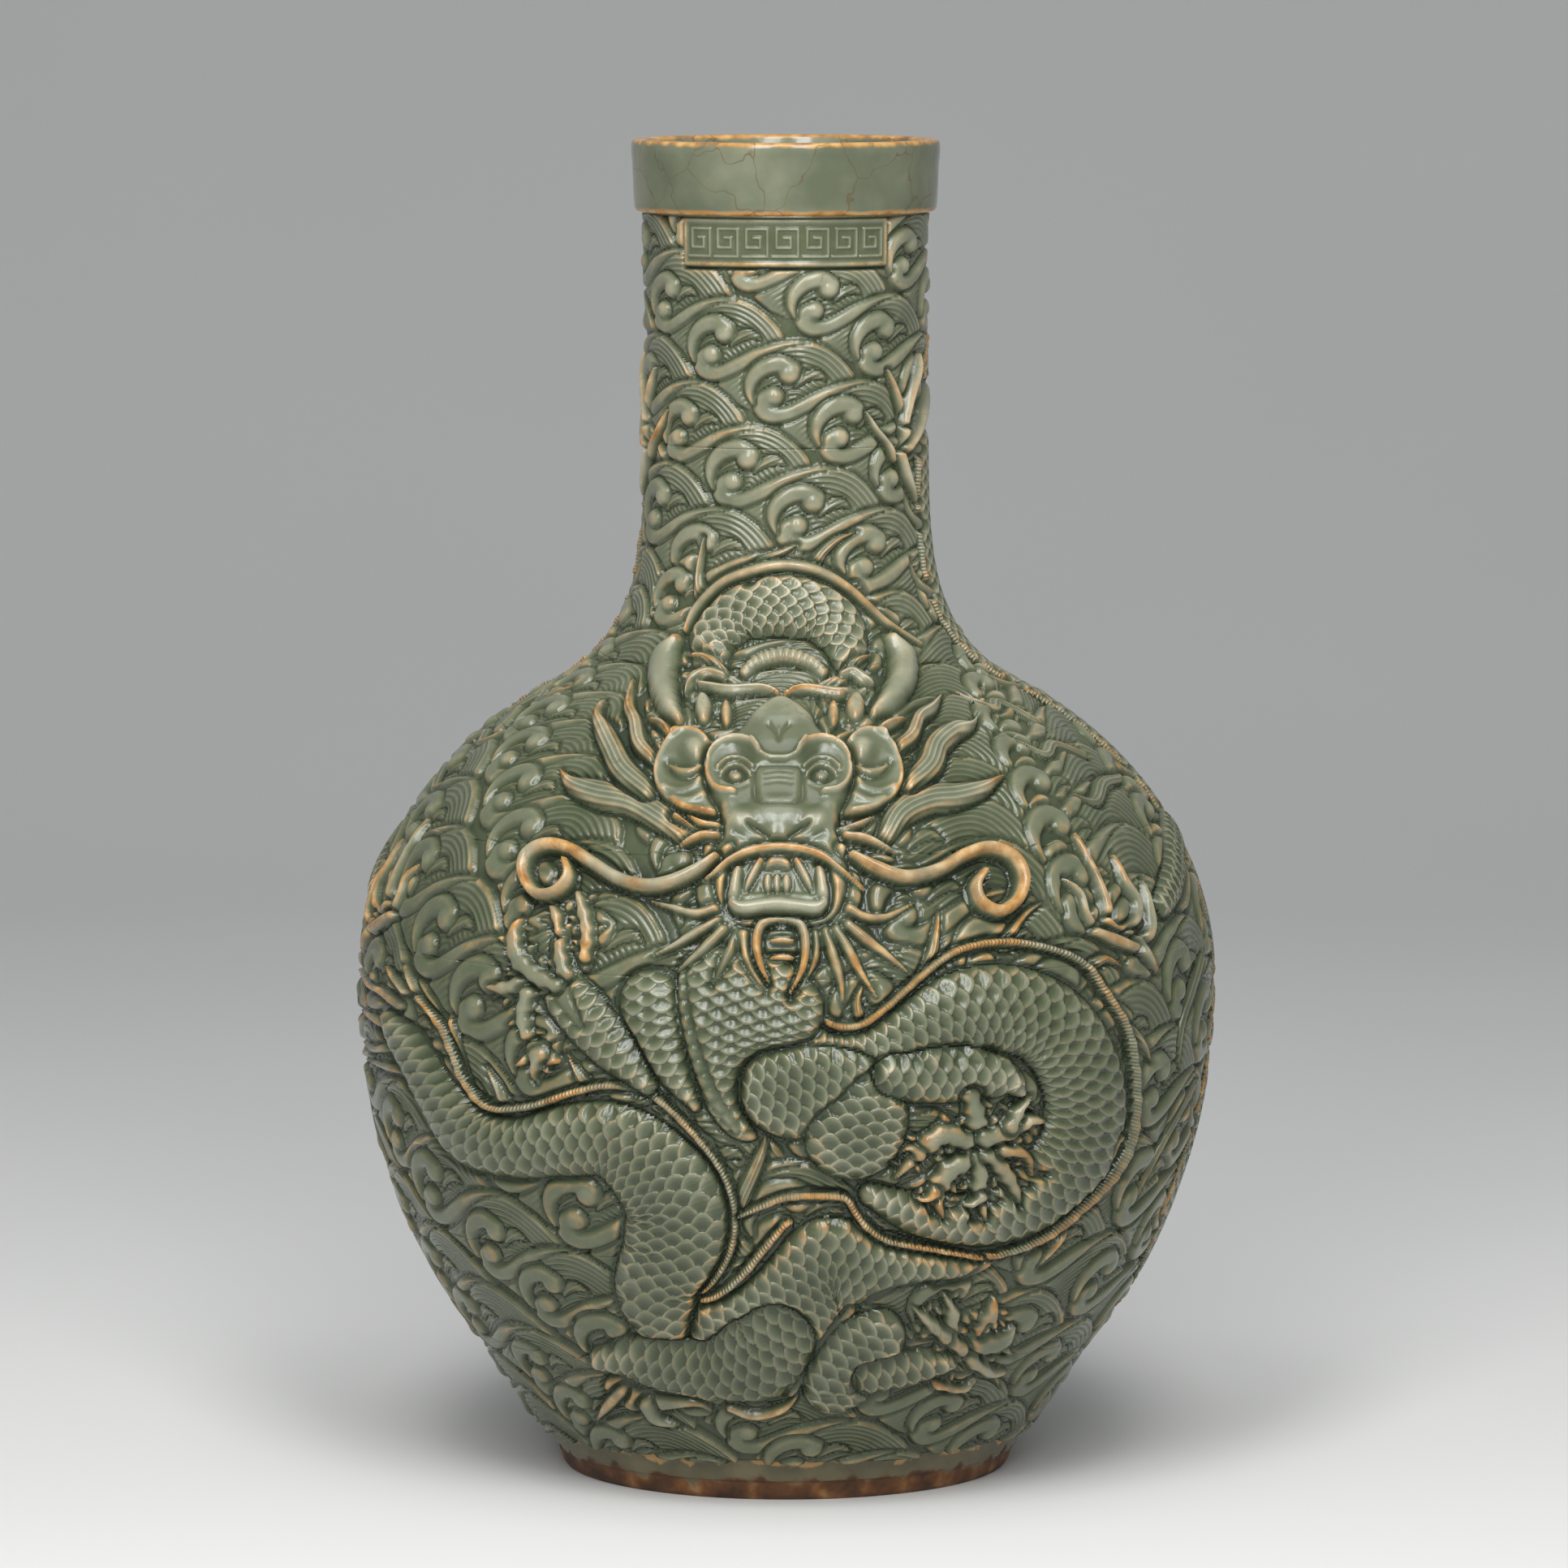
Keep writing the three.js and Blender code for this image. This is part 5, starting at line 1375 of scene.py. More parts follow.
def wall_ring(name, first, last, every=1):
    """A ring of the wall between two rows: relief outside, smooth inside, closed at its two ends."""
    skin = Skin()
    rows, columns = np.arange(first, last + 1), np.arange(0, COLUMNS, every)
    r, c = pairs(rows, columns)
    outer = skin.add_points(points_on_wall(r, c, wall_lift[r, c]), marks_at(r, c))

    def at(r, c):
        return outer + (r - first) * len(columns) + np.mod(c, COLUMNS) // every

    if every > 1:
        skin.add_faces(quads(at, *pairs(rows[:-1], columns), on=every))
    else:
        whole = block_all(cover_cells >= DEEPEST - 1)[first // BLOCK:last // BLOCK]
        add_relief(skin, at, first, *np.nonzero(~whole))
        for i, j in zip(*np.nonzero(whole)):
            face = []
            for start, end, plain in block_sides(whole, i, j):
                steps = 1 if plain else BLOCK
                face += along_side(at, first + i * BLOCK, j * BLOCK, start, end, steps, range(steps))
            skin.add_faces([face])

    inner_columns = np.arange(0, COLUMNS, INNER_COLUMN_STEP)
    m = len(inner_columns)
    inner_count = max(3, (last - first) // INNER_ROW_STEP)
    inner_rows = np.unique(np.round(np.linspace(first, last, inner_count)).astype(int))
    top = len(inner_rows) - 1
    r, c = pairs(inner_rows, inner_columns)
    inner = skin.add_points(points_on_wall(r, c, np.full(len(r), -WALL_THICKNESS)))

    def inside_at(i, j):
        return inner + i * m + np.mod(j, m)

    skin.add_faces(quads(inside_at, *pairs(range(top), range(m)))[:, TURNED_OVER])
    steps = range(0, INNER_COLUMN_STEP + 1, every)
    for j in range(m):
        low = [at(first, j * INNER_COLUMN_STEP + k) for k in reversed(steps)]
        skin.add_faces([low + [inside_at(0, j), inside_at(0, j + 1)]], smooth=False)
        high = [at(last, j * INNER_COLUMN_STEP + k) for k in steps]
        skin.add_faces([high + [inside_at(top, j + 1), inside_at(top, j)]], smooth=False)
    return skin.made(name)


def sprig(name, number):
    """A luted sprig: its relief, a flange that dips under its neighbours, and a seat in the wall."""
    mine = owner == number
    blocks = ~block_all(~mine)
    if not blocks.any():
        return None
    reach = inward_cells(~mine, DEEPEST)
    flange = np.maximum(height - FLANGE_STEP - FLANGE_FALL * CELL * (reach - 1), FLANGE_LOW)
    lift = np.where(mine, height, flange)
    used = np.zeros((ROWS, COLUMNS), bool)
    block_r, block_c = np.nonzero(blocks)
    for r, c in zip(*pairs(range(BLOCK + 1), range(BLOCK + 1))):
        used[block_r * BLOCK + r, np.mod(block_c * BLOCK + c, COLUMNS)] = True
    rows, cols = np.nonzero(used)
    place = np.full((ROWS, COLUMNS), -1)
    place[rows, cols] = np.arange(len(rows))
    skin = Skin()
    skin.add_points(points_on_wall(rows, cols, lift[rows, cols]), marks_at(rows, cols))
    seat = skin.add_points(points_on_wall(rows, cols, np.full(len(rows), SEAT_DEPTH)))

    def top(r, c):
        return place[r, np.mod(c, COLUMNS)]

    add_relief(skin, top, 0, block_r, block_c)
    skin.add_faces(seat + quads(top, block_r * BLOCK, block_c * BLOCK, BLOCK, BLOCK)[:, TURNED_OVER])
    for i, j in zip(block_r, block_c):
        for start, end, joined in block_sides(blocks, i, j):
            if not joined:
                edge = along_side(top, i * BLOCK, j * BLOCK, start, end, BLOCK, range(BLOCK, -1, -1))
                skin.add_faces([edge + [seat + edge[-1], seat + edge[0]]])
    return skin.made(name)


WHEEL_STEPS = 360


def turned(name, profile):
    """A ring turned on the wheel from a closed profile of (radius, height), listed anticlockwise."""
    profile = np.array(profile, float)
    n = len(profile)
    azimuth = np.arange(WHEEL_STEPS) * 2 * np.pi / WHEEL_STEPS
    skin = Skin()
    skin.add_points(round_axis(profile[None, :, 0], azimuth[:, None], profile[None, :, 1]))

    def at(i, j):
        return np.mod(i, WHEEL_STEPS) * n + np.mod(j, n)

    skin.add_faces(quads(at, *pairs(range(WHEEL_STEPS), range(n)))[:, TURNED_OVER])
    return skin.made(name)


def rounded(profile, radius, steps=4):
    """Rounds each corner of a closed profile."""
    out = []
    p = np.array(profile, float)
    for before, at, after in zip(np.roll(p, 1, 0), p, np.roll(p, -1, 0)):
        a, b = (at + way / np.hypot(*way) * min(radius, np.hypot(*way) * 0.45)
                for way in (before - at, after - at))
        for t in np.linspace(0, 1, steps + 1):
            out.append((1 - t) ** 2 * a + 2 * t * (1 - t) * at + t**2 * b)
    return out


# Glazes and bodies

def colour(hex_code):
    """An sRGB hex colour turned to linear."""
    channels = [int(hex_code[i:i + 2], 16) / 255 for i in (1, 3, 5)]
    return [c / 12.92 if c <= 0.04045 else ((c + 0.055) / 1.055) ** 2.4 for c in channels] + [1.0]


def node(tree, kind, inputs, out=0, **settings):
    """Adds a node with its settings and its inputs' values or links, and returns one of its output sockets."""
    made = tree.nodes.new(kind)
    for name, value in settings.items():
        setattr(made, name, value)
    for socket, value in inputs.items():
        if isinstance(value, bpy.types.NodeSocket):
            tree.links.new(value, made.inputs[socket])
        else:
            made.inputs[socket].default_value = value
    return made.outputs[out] if made.outputs else None


def with_stops(ramp, stops):
    """Gives a ramp its colours, and returns its socket."""
    elements = ramp.node.color_ramp.elements
    while len(elements) < len(stops):
        elements.new(0.5)
    for element, (at, hex_code) in zip(elements, stops):
        element.position = at
        element.color = colour(hex_code)
    return ramp


def with_curve(curve, points):
    """Gives a curve its points, and returns its socket."""
    mapping = curve.node.mapping
    line = mapping.curves[0]
    while len(line.points) < len(points):
        line.points.new(0.5, 0.5)
    for point, place in zip(line.points, points):
        point.location = place
    mapping.update()
    return curve


def new_material(name):
    """An empty material, its tree, and the object's own coordinates in it."""
    material = bpy.data.materials.new(name)
    material.use_nodes = True
    tree = material.node_tree
    tree.nodes.clear()
    return material, tree, node(tree, "ShaderNodeTexCoord", {}, "Object")


def with_shader(material, inputs):
    """Gives a material its shader, and returns the material."""
    shader = node(material.node_tree, "ShaderNodeBsdfPrincipled", inputs)
    node(material.node_tree, "ShaderNodeOutputMaterial", {"Surface": shader})
    return material


def scale_gap(tree, row, across):
    """The relief's scales at full sharpness: how many rows a place lies behind its scale's free edge."""
    # Keeps what FRACT is given above nought.
    lift = 100.0
    first = node(tree, "ShaderNodeMath", {0: row}, operation="CEIL")
    gap = None
    for step in (2, 1, 0):
        number = node(tree, "ShaderNodeMath", {0: first, 1: step}, operation="ADD")
        halved = node(tree, "ShaderNodeMath", {0: number, 1: 0.5, 2: lift}, operation="MULTIPLY_ADD")
        half = node(tree, "ShaderNodeMath", {0: halved}, operation="FRACT")
        shifted = node(tree, "ShaderNodeMath", {0: across, 1: half}, operation="ADD")
        lifted = node(tree, "ShaderNodeMath", {0: shifted, 1: lift}, operation="ADD")
        place = node(tree, "ShaderNodeMath", {0: lifted}, operation="FRACT")
        from_middle = node(tree, "ShaderNodeMath", {0: place, 1: 0.5}, operation="SUBTRACT")
        square = node(tree, "ShaderNodeMath", {0: from_middle, 1: from_middle}, operation="MULTIPLY")
        bow = {0: square, 1: -4 * SCALE_BOW, 2: number}
        free_edge = node(tree, "ShaderNodeMath", bow, operation="MULTIPLY_ADD")
        here = node(tree, "ShaderNodeMath", {0: free_edge, 1: row}, operation="SUBTRACT")
        if gap is None:
            gap = here
        else:
            inside = node(tree, "ShaderNodeMath", {0: here, 1: 0.0}, operation="GREATER_THAN")
            gap = node(tree, "ShaderNodeMix", {0: inside, 2: gap, 3: here})
    return gap


def crackle(tree, place, bend_scale, bend_share, cells_scale, width, strength):
    """Hairlines of the crackle, along the edges of a bent net of cells."""
    bend = node(tree, "ShaderNodeTexNoise", {"Vector": place, "Scale": bend_scale, "Detail": 2.0}, "Color")
    bent = node(tree, "ShaderNodeMix", {0: bend_share, 4: place, 5: bend}, 1, data_type="VECTOR")
    net = {"Vector": bent, "Scale": cells_scale}
    crack = node(tree, "ShaderNodeTexVoronoi", net, "Distance", feature="DISTANCE_TO_EDGE")
    fade = {"Value": crack, "From Min": 0.0, "From Max": width, "To Min": strength, "To Max": 0.0}
    return node(tree, "ShaderNodeMapRange", fade)


def ragged_level(tree, place, noise, reach):
    """Height in metres, moved up and down by a noise, so that a limit at a height comes out ragged."""
    level = node(tree, "ShaderNodeSeparateXYZ", {"Vector": place}, "Z")
    ragged = node(tree, "ShaderNodeMath", {0: noise, 1: reach, 2: -reach / 2}, operation="MULTIPLY_ADD")
    return node(tree, "ShaderNodeMath", {0: level, 1: ragged}, operation="ADD")


# The glaze from its deepest pools to where it is thinnest over the body.
GLAZE_TONES = [
    (0.0, "#2e3728"), (0.2, "#3b432f"), (0.42, "#515840"), (0.62, "#6a6f59"), (0.8, "#8c8c75"),
    (1.0, "#b8b097"),
]
THIN_TONES = [(0.3, "#8a6338"), (0.5, "#b08349"), (0.7, "#cba876")]
CRACK_STAIN = "#5a4630"
# How far a scale, a comb line and the glaze's own unevenness shift the tone.
SCALE_TONE = 0.32
COMB_TONE = 0.1
CLOUD_TONE = 0.22
MOTTLE_TONE = 0.16
# A scale's tone from its free edge back, and its mean: glaze pooled at its base, with a painted highlight near
# its free edge and painted shade behind it.
SCALE_POOL_AND_PAINTED_SHADE = [(0.0, 0.35), (0.05, 0.85), (0.16, 1.0), (0.35, 0.72), (0.7, 0.18), (1.0, 0.0)]
SCALE_MEAN = 0.55
# Hollows, in millimetres, at which the tone is palest and deepest.
SHALLOW, DEEP = 1.7, -2.3
# Painted shade low on the body: by how much the tone deepens up to one height, in metres, and from another.
BELLY_LEVEL, NECK_LEVEL = 0.17, 0.28
SHADE_AT_BELLY, SHADE_AT_NECK = -0.19, -0.02
# Heights of the scales, the comb lines and the grain in the glaze's surface, in metres.
SCALE_BUMP = 0.0006
COMB_BUMP = 0.00018
GRAIN_BUMP = 0.00003


def celadon_glaze(name, thinnest):
    """Crackled celadon glaze on porcelain, poured and fired: pale where thin on the heights, deep green where
    it pools in the hollows, and orange-brown where it ran off the crisp edges and the body shows through."""
    material, tree, place = new_material(name)
    hollow_mark, crisp_mark, comb_mark, combed, row, across, scaled = (
        node(tree, "ShaderNodeAttribute", {}, "Fac", attribute_name=mark) for mark in MARKS)

    # Uneven thickness of the glaze in clouds, mottles and runs, and the grain of its surface.
    cloud, mottle, runs, grain = (
        node(tree, "ShaderNodeTexNoise", {"Vector": place, "Scale": size, "Detail": detail}, "Fac")
        for size, detail in ((55.0, 4.0), (210.0, 3.0), (42.0, 2.0), (900.0, 3.0)))

    # Scales and comb lines, finer than the mesh. A scale's tone is glaze pooled at its base, with a painted
    # highlight near its free edge and painted shade behind it.
    behind = node(tree, "ShaderNodeMath", {0: scale_gap(tree, row, across), 1: 0.5}, operation="MULTIPLY")
    # Painted highlight near each scale's free edge and painted shade behind it, together with pooled glaze.
    shade = with_curve(node(tree, "ShaderNodeFloatCurve", {"Value": behind}), SCALE_POOL_AND_PAINTED_SHADE)
    centred = node(tree, "ShaderNodeMath", {0: shade, 1: SCALE_MEAN}, operation="SUBTRACT")
    scale = node(tree, "ShaderNodeMath", {0: centred, 1: scaled}, operation="MULTIPLY")
    turns = node(tree, "ShaderNodeMath", {0: comb_mark, 1: 2 * math.pi}, operation="MULTIPLY")
    wave = node(tree, "ShaderNodeMath", {0: turns}, operation="COSINE")
    comb = node(tree, "ShaderNodeMath", {0: wave, 1: combed}, operation="MULTIPLY")

    # How thick the glaze lies: thick in the hollows. The tone also deepens low on the body, as painted shade.
    spread = node(tree, "ShaderNodeMapRange", {"Value": hollow_mark, "From Min": DEEP, "From Max": SHALLOW})
    level = node(tree, "ShaderNodeSeparateXYZ", {"Vector": place}, "Z")
    low_shade_range = {"From Min": BELLY_LEVEL, "From Max": NECK_LEVEL, "To Min": SHADE_AT_BELLY, "To Max": SHADE_AT_NECK}
    # Painted shade: the tone darkens towards the bottom of the body.
    painted_low_shade = node(tree, "ShaderNodeMapRange", {"Value": level, **low_shade_range})
    tone = node(tree, "ShaderNodeMath", {0: spread, 1: painted_low_shade}, operation="ADD")
    clouded, mottled = (
        node(tree, "ShaderNodeMath", {0: noise, 1: strength, 2: -strength / 2}, operation="MULTIPLY_ADD")
        for noise, strength in ((cloud, CLOUD_TONE), (mottle, MOTTLE_TONE)))
    uneven = node(tree, "ShaderNodeMath", {0: clouded, 1: mottled}, operation="ADD")
    tone = node(tree, "ShaderNodeMath", {0: tone, 1: uneven}, operation="ADD")
    tone = node(tree, "ShaderNodeMath", {0: scale, 1: SCALE_TONE, 2: tone}, operation="MULTIPLY_ADD")
    tone = node(tree, "ShaderNodeMath", {0: comb, 1: COMB_TONE, 2: tone}, operation="MULTIPLY_ADD")
    glaze = with_stops(node(tree, "ShaderNodeValToRGB", {"Fac": tone}), GLAZE_TONES)

    # Where it ran thin, in patches, and the body shows through.
    sharp = node(tree, "ShaderNodeMath", {0: scale, 1: 0.25, 2: crisp_mark}, operation="MULTIPLY_ADD")
    edge = node(tree, "ShaderNodeMapRange", {"Value": sharp, "From Min": 0.22, "From Max": 0.9})
    patches = node(tree, "ShaderNodeMapRange", {"Value": runs, "From Min": 0.38, "From Max": 0.6,
                                                "To Min": 0.12, "To Max": thinnest})
    thin = node(tree, "ShaderNodeMath", {0: edge, 1: patches}, operation="MULTIPLY")
    body = with_stops(node(tree, "ShaderNodeValToRGB", {"Fac": mottle}), THIN_TONES)
    coloured = node(tree, "ShaderNodeMix", {0: thin, 6: glaze, 7: body}, 2, data_type="RGBA")

    # Hairline crackle, stained brown, stronger in some places.
    hairline = crackle(tree, place, 160.0, 0.01, 70.0, 0.013, 1.0)
    strong = node(tree, "ShaderNodeMapRange", {"Value": cloud, "From Min": 0.42, "From Max": 0.66,
                                               "To Min": 0.0, "To Max": 0.6})
    faint = node(tree, "ShaderNodeMath", {0: hairline, 1: strong}, operation="MULTIPLY")
    stained = {0: faint, 6: coloured, 7: colour(CRACK_STAIN)}
    cracked = node(tree, "ShaderNodeMix", stained, 2, data_type="RGBA")

    # Glossy, with the scales and comb lines in the surface.
    rough = node(tree, "ShaderNodeMapRange", {"Value": mottle, "From Min": 0.3, "From Max": 0.7,
                                              "To Min": 0.17, "To Max": 0.3})
    relief = node(tree, "ShaderNodeMath", {0: comb, 1: COMB_BUMP}, operation="MULTIPLY")
    relief = node(tree, "ShaderNodeMath", {0: scale, 1: SCALE_BUMP, 2: relief}, operation="MULTIPLY_ADD")
    relief = node(tree, "ShaderNodeMath", {0: grain, 1: GRAIN_BUMP, 2: relief}, operation="MULTIPLY_ADD")
    bump = node(tree, "ShaderNodeBump", {"Height": relief, "Strength": 1.0, "Distance": 1.0})
    return with_shader(material, {"Base Color": cracked, "Roughness": rough, "Normal": bump, "IOR": 1.5})


def turned_glaze(name, tones, browned_from, browned_to, browned_above):
    """The same glaze on a plain turned ring: pale green and cloudy, browned along its edges, crackled."""
    material, tree, place = new_material(name)
    cloud, mottle = (
        node(tree, "ShaderNodeTexNoise", {"Vector": place, "Scale": size, "Detail": detail}, "Fac")
        for size, detail in ((38.0, 4.0), (210.0, 3.0)))
    glaze = with_stops(node(tree, "ShaderNodeValToRGB", {"Fac": cloud}), tones)

    # Brown along the top and the bottom edge, with a ragged limit.
    level = ragged_level(tree, place, mottle, 0.002)
    low = node(tree, "ShaderNodeMapRange", {"Value": level, "From Min": browned_from, "From Max": browned_to,
                                            "To Min": 1.0, "To Max": 0.0})
    high = node(tree, "ShaderNodeMapRange", {"Value": level, "From Min": browned_above,
                                             "From Max": browned_above + 0.0012})
    edge = node(tree, "ShaderNodeMath", {0: low, 1: high}, operation="MAXIMUM")
    brown = [(0.3, "#8a5f2e"), (0.5, "#b58040"), (0.7, "#c9a063")]
    body = with_stops(node(tree, "ShaderNodeValToRGB", {"Fac": mottle}), brown)
    coloured = node(tree, "ShaderNodeMix", {0: edge, 6: glaze, 7: body}, 2, data_type="RGBA")

    hairline = crackle(tree, place, 90.0, 0.012, 48.0, 0.011, 0.75)
    stained = {0: hairline, 6: coloured, 7: colour("#5d4a2f")}
    cracked = node(tree, "ShaderNodeMix", stained, 2, data_type="RGBA")
    rough = node(tree, "ShaderNodeMapRange", {"Value": mottle, "From Min": 0.3, "From Max": 0.7,
                                              "To Min": 0.1, "To Max": 0.2})
    bump = node(tree, "ShaderNodeBump", {"Height": cloud, "Strength": 0.25, "Distance": 0.002})
    return with_shader(material, {"Base Color": cracked, "Roughness": rough, "Normal": bump, "IOR": 1.5})


def iron_foot():
    """Iron-rich stoneware body of the foot, wiped bare of glaze before firing: matt, rusty brown and speckled,
    with a broken skin of thin glaze over its upper half."""
    material, tree, place = new_material("wiped_iron_rich_body")
    cloud, blotch, speck = (
        node(tree, "ShaderNodeTexNoise", {"Vector": place, "Scale": size, "Detail": detail}, "Fac")
        for size, detail in ((60.0, 5.0), (130.0, 4.0), (700.0, 2.0)))
    rust = [(0.35, "#3d2410"), (0.5, "#5f3a1a"), (0.6, "#7c5128"), (0.7, "#957046")]
    bare = with_stops(node(tree, "ShaderNodeValToRGB", {"Fac": blotch}), rust)
    green = with_stops(node(tree, "ShaderNodeValToRGB", {"Fac": cloud}), [(0.3, "#514c38"), (0.7, "#6f674c")])

    # The thin glaze starts raggedly, about 6 mm up, and a pale line shows at the ledge: bared body on its edge,
    # with a painted highlight along it.
    level = ragged_level(tree, place, blotch, 0.014)
    glazed = node(tree, "ShaderNodeMapRange", {"Value": level, "From Min": 0.0058, "From Max": 0.0072})
    mixed = node(tree, "ShaderNodeMix", {0: glazed, 6: bare, 7: green}, 2, data_type="RGBA")
    # Painted highlight along the ledge, over the bared body of its edge.
    ledge_body_and_highlight = node(tree, "ShaderNodeMapRange", {"Value": level, "From Min": 0.0118, "From Max": 0.0128})
    lined = node(tree, "ShaderNodeMix", {0: ledge_body_and_highlight, 6: mixed, 7: colour("#b08a55")}, 2, data_type="RGBA")
    rough = node(tree, "ShaderNodeMapRange", {"Value": glazed, "To Min": 0.6, "To Max": 0.2})
    bump = node(tree, "ShaderNodeBump", {"Height": speck, "Strength": 0.2, "Distance": 0.0003})
    return with_shader(material, {"Base Color": lined, "Roughness": rough, "Normal": bump})


def paper_floor():
    """Pale matt paper, a little cloudy."""
    material, tree, place = new_material("pale_paper_floor")
    cloud = node(tree, "ShaderNodeTexNoise", {"Vector": place, "Scale": 3.0}, "Fac")
    paper = with_stops(node(tree, "ShaderNodeValToRGB", {"Fac": cloud}), [(0.0, "#dadad8"), (1.0, "#dfdfdd")])
    return with_shader(material, {"Base Color": paper, "Roughness": 0.9})


RIM_TONES = [(0.35, "#5b614e"), (0.5, "#6b6f5b"), (0.65, "#7d7f69")]
# Heights, in metres, between which the rim's brown lower edge ends, and from which its lip is brown.
RIM_BROWNED = (0.3868, 0.3878, 0.4064)

wall_glaze = celadon_glaze("crackled_celadon_glaze", 0.9)
dragon_glaze = celadon_glaze("crackled_celadon_glaze_on_sprigs", 1.0)
rim_glaze = turned_glaze("crackled_celadon_glaze_on_rim", RIM_TONES, *RIM_BROWNED)
foot_body = iron_foot()


# The pieces

def finish_piece(piece, material, slot, *replaced):
    piece.data.materials.append(material)
    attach(piece, "root")
    if replaced:
        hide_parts(*replaced)


def row_at(z):
    """The row nearest a height, on a block's edge."""
    return int(round(np.interp(z, ROW_Z, np.arange(ROWS)) / BLOCK)) * BLOCK


# Rows of the largest looks piece of a ring.
RING_LIMIT = 76


def make_wall():
    """Each thrown ring in looks pieces of at most some rows, and the neck in two."""
    joints = (FOOT_HEIGHT, BOWL_JOINT_Z, BELLY_JOINT_Z, NECK_JOINT_Z)
    for name, low, high in zip(("lower_bowl", "belly_ring", "shoulder_dome"), joints, joints[1:]):
        first, last = row_at(low), row_at(high)
        count = -(-(last - first) // RING_LIMIT)
        cuts = [first + round((last - first) * i / count / BLOCK) * BLOCK for i in range(count)] + [last]
        for i, (a, b) in enumerate(zip(cuts, cuts[1:])):
            finish_piece(wall_ring(f"glazed_{name}_{i + 1}", a, b), wall_glaze, "celadon_glaze", name)
    first, last = row_at(NECK_JOINT_Z), (ROWS - 1) // BLOCK * BLOCK
    middle = (first + last) // 2 // BLOCK * BLOCK
    for i, (a, b) in enumerate(((first, middle), (middle, last))):
        neck = wall_ring(f"glazed_neck_tube_{i + 1}", a, b, every=2)
        finish_piece(neck, wall_glaze, "celadon_glaze", "neck_tube")


def make_sprigs():
    for number, name in list(enumerate(owners))[1:]:
        piece = sprig("glazed_" + name, number)
        if piece:
            finish_piece(piece, dragon_glaze, "dragon_glaze", name)


FOOT_PROFILE = [
    (FOOT_INNER_RADIUS, 0), (FOOT_BOTTOM_RADIUS - 1.4, 0), (FOOT_BOTTOM_RADIUS, 1.4),
    (70.6, 6.0), (71.4, 6.2), (FOOT_TOP_RADIUS, FOOT_HEIGHT - 1.2),
    (FOOT_TOP_RADIUS, FOOT_HEIGHT), (FOOT_INNER_RADIUS, FOOT_HEIGHT),
]
RIM_PROFILE = [
    (MOUTH_RADIUS - 1.0, NECK_TOP_Z), (45.9, NECK_TOP_Z), (46.3, NECK_TOP_Z + 3), (46.7, 400),
    (RIM_RADIUS, 405),
    (RIM_RADIUS - 0.3, RIM_TOP_Z), (MOUTH_RADIUS + 0.2, RIM_TOP_Z), (MOUTH_RADIUS - 0.6, RIM_TOP_Z - 4),
]


def make_foot_and_rim():
    foot = turned("wiped_foot_ring", rounded(FOOT_PROFILE, 0.5))
    finish_piece(foot, foot_body, "iron_foot_glaze", "foot_ring")
    rim = turned("glazed_mouth_rim", rounded(RIM_PROFILE, 1.5, 6))
    finish_piece(rim, rim_glaze, "celadon_glaze", "mouth_rim")


# One turn of the fret, in shares of its own square.
FRET = [
    (0.02, 0.0), (0.86, 0.0), (0.86, 1.0), (0.16, 1.0), (0.16, 0.32), (0.62, 0.32), (0.62, 0.68), (0.4, 0.68),
]
FRET_TURNS = 7
FRET_HALF_WIDTH = 0.55
FRET_RAISED = 0.5
FRAME_RAISED = 0.5
TABLET_BACK = -1.0
TABLET_FRAME = 1.7
TABLET_COLUMNS = 340
TABLET_ROWS = 74


def tablet_relief(across, up):
    """Height over the wall: a raised frame round a plain fret, from millimetres across and up the tablet."""
    wide, tall = across.max(), up.max()
    border = np.minimum(np.minimum(across, wide - across), np.minimum(up, tall - up))
    relief = TABLET_LIFT + FRAME_RAISED * np.clip(1.2 - np.abs(border - 0.9), 0, 1)
    relief -= 0.9 * np.clip(0.5 - border, 0, 0.5)
    turn_width = (wide - 2 * TABLET_FRAME) / FRET_TURNS
    turn_height = tall - 2 * TABLET_FRAME - 3.2
    for k in range(FRET_TURNS):
        line = [((TABLET_FRAME + 0.4 + (k + x) * turn_width) / MM_PER_PIXEL,
                 (TABLET_FRAME + 1.6 + y * turn_height) / MM_PER_PIXEL, 1) for x, y in FRET]
        _, aside, _ = along_curve(np.array(line), across / MM_PER_PIXEL, up / MM_PER_PIXEL)
        relief += FRET_RAISED * np.clip((FRET_HALF_WIDTH - np.abs(aside)) / 0.35, 0, 1)
    return relief


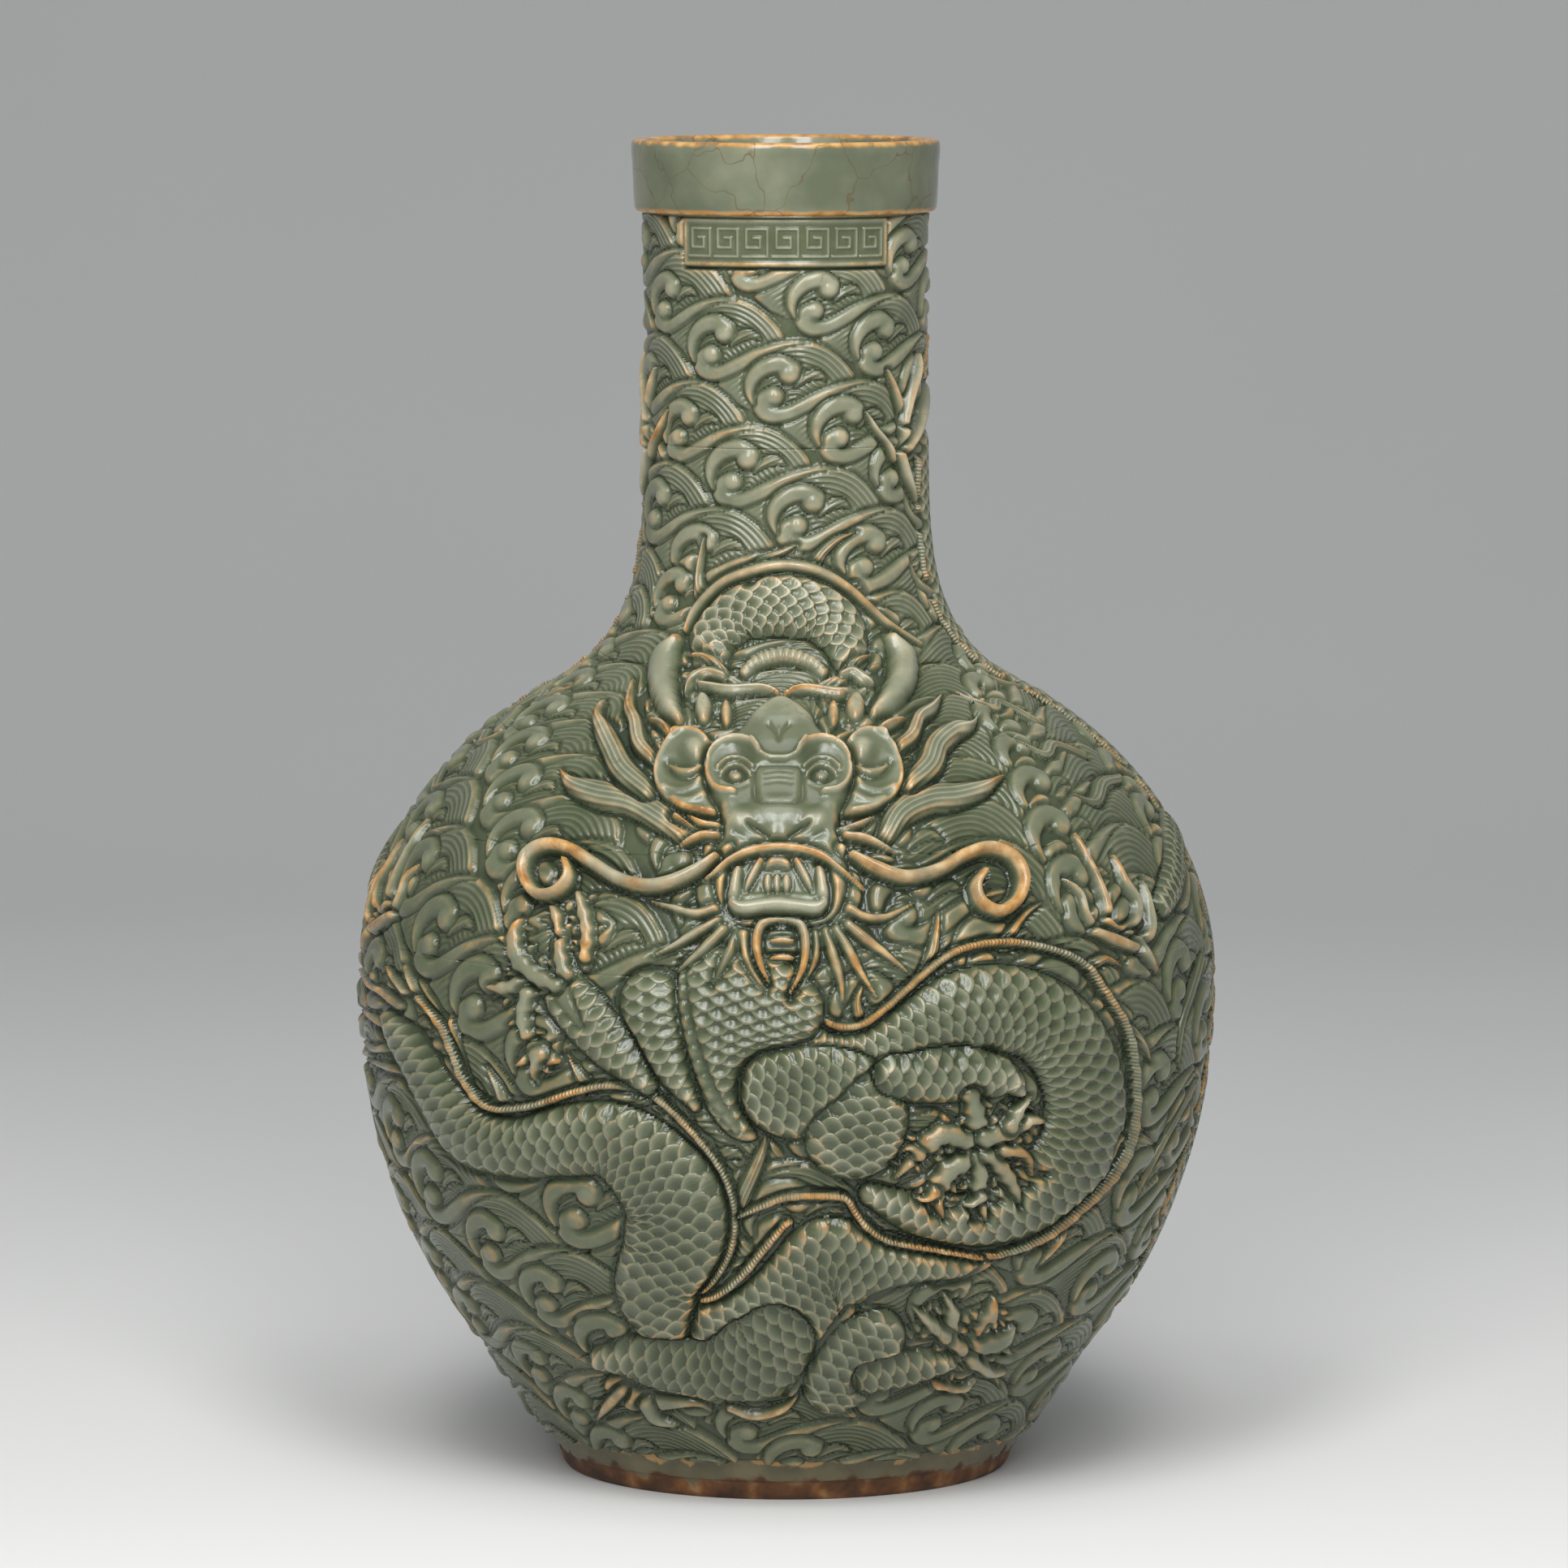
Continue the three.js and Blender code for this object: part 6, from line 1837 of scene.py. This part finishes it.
def make_tablet():
    """The tablet under the rim, as its own curved slab."""
    angle = np.radians(np.linspace(-TABLET_HALF_ANGLE, TABLET_HALF_ANGLE, TABLET_COLUMNS))
    z = np.linspace(TABLET_LOW_Z, TABLET_HIGH_Z, TABLET_ROWS)
    angles, levels = np.meshgrid(angle, z)
    across = (angles - angle[0]) * float(wall_radius(TABLET_LOW_Z))
    relief = tablet_relief(across, levels - TABLET_LOW_Z)
    marks = np.zeros((relief.size, len(MARKS)))
    raised = (relief - TABLET_LIFT).reshape(-1)
    outermost = (np.abs(angles) > angle[-1] - 0.05) | (levels < z[0] + 1.9)
    border = (raised > 0.3) & outermost.reshape(-1)
    marks[:, MARKS.index("hollow")] = 2.2 * raised - 0.5
    marks[:, MARKS.index("crisp")] = 0.95 * border
    skin = Skin()
    outer = skin.add_points(round_axis(wall_radius(levels) + relief, angles, levels), marks)
    inner = skin.add_points(round_axis(wall_radius(levels) + TABLET_BACK, angles, levels))
    places = pairs(range(TABLET_ROWS - 1), range(TABLET_COLUMNS - 1))
    cells = quads(lambda i, j: i * TABLET_COLUMNS + j, *places)
    skin.add_faces(outer + cells)
    skin.add_faces(inner + cells[:, TURNED_OVER])
    bottom = np.arange(TABLET_COLUMNS)
    right = np.arange(TABLET_ROWS) * TABLET_COLUMNS + TABLET_COLUMNS - 1
    top = (TABLET_ROWS - 1) * TABLET_COLUMNS + bottom[::-1]
    left = right[::-1] - TABLET_COLUMNS + 1
    for side in (bottom, right, top, left):
        here, on = side[:-1], side[1:]
        skin.add_faces(np.stack([inner + here, inner + on, outer + on, outer + here], 1), smooth=False)
    finish_piece(skin.made("glazed_mark_tablet"), wall_glaze, "celadon_glaze", "mark_tablet")


make_wall()
make_sprigs()
make_foot_and_rim()
make_tablet()
floor_slab = bpy.data.objects["floor_slab"]
floor_slab.data.materials.clear()
floor_slab.data.materials.append(foot_body)


# Floor, light and camera, in metres

# Name, azimuth and elevation in degrees, distance, width, height and power.
SOFTBOXES = [
    ("left_softbox", -17, 38, 1.5, 0.35, 1.1, 13), ("right_softbox", 13, 38, 1.5, 0.35, 1.1, 12),
    ("top_softbox", 0, 66, 1.6, 1.0, 1.0, 9),
]
LIT_POINT = Vector((0, 0, 0.22))
SKY_COLOUR = "#dfe3e6"
SKY_STRENGTH = 0.4


def lamp(name, azimuth, elevation, distance, width, tall, power):
    light = bpy.data.lights.new(name, "AREA")
    light.shape = "RECTANGLE"
    light.size, light.size_y, light.energy = width, tall, power
    thing = linked(name, light)
    a, e = math.radians(azimuth), math.radians(elevation)
    way = Vector((math.sin(a) * math.cos(e), -math.cos(a) * math.cos(e), math.sin(e)))
    thing.location = way * distance + LIT_POINT
    thing.rotation_euler = (LIT_POINT - thing.location).to_track_quat("-Z", "Y").to_euler()


COVE_START = 1.4
COVE_RADIUS = 1.6
COVE_TOP = 4.0
COVE_STEPS = 32
STAGE_HALF_WIDTH = 5.0


def make_stage():
    """A paper floor that curves up behind the vase, a plain sky and three softboxes."""
    bend = [(COVE_START + COVE_RADIUS * math.sin(a), COVE_RADIUS * (1 - math.cos(a)))
            for a in np.linspace(0, math.pi / 2, COVE_STEPS)]
    profile = [(-STAGE_HALF_WIDTH, 0.0)] + bend + [(COVE_START + COVE_RADIUS, COVE_TOP)]
    points = [(x, y, z) for y, z in profile for x in (-STAGE_HALF_WIDTH, STAGE_HALF_WIDTH)]
    faces = [(2 * i, 2 * i + 1, 2 * i + 3, 2 * i + 2) for i in range(len(profile) - 1)]
    floor = bpy.data.meshes.new("paper_cove")
    floor.from_pydata(points, [], faces)
    floor.polygons.foreach_set("use_smooth", [True] * len(faces))
    floor.materials.append(paper_floor())
    thing = linked("paper_cove", floor)
    world = bpy.data.worlds.new("studio")
    bpy.context.scene.world = world
    world.use_nodes = True
    sky = world.node_tree.nodes["Background"]
    sky.inputs[0].default_value = colour(SKY_COLOUR)
    sky.inputs[1].default_value = SKY_STRENGTH
    for softbox in SOFTBOXES:
        lamp(*softbox)


SENSOR_WIDTH = 36.0


def make_camera():
    data = bpy.data.cameras.new("viewer")
    data.sensor_width = SENSOR_WIDTH
    data.sensor_fit = "HORIZONTAL"
    data.lens = FOCAL_PIXELS / IMAGE_SIDE * SENSOR_WIDTH
    data.shift_x = (IMAGE_SIDE / 2 - AXIS_PIXEL) / IMAGE_SIDE
    camera = linked("viewer", data)
    camera.location = (0, -VIEWER_DISTANCE / 1000, VIEWER_HEIGHT / 1000)
    camera.rotation_euler = (math.pi / 2 - VIEWER_TILT, 0, 0)
    bpy.context.scene.camera = camera


make_stage()
make_camera()
bpy.context.scene.view_settings.view_transform = "Standard"
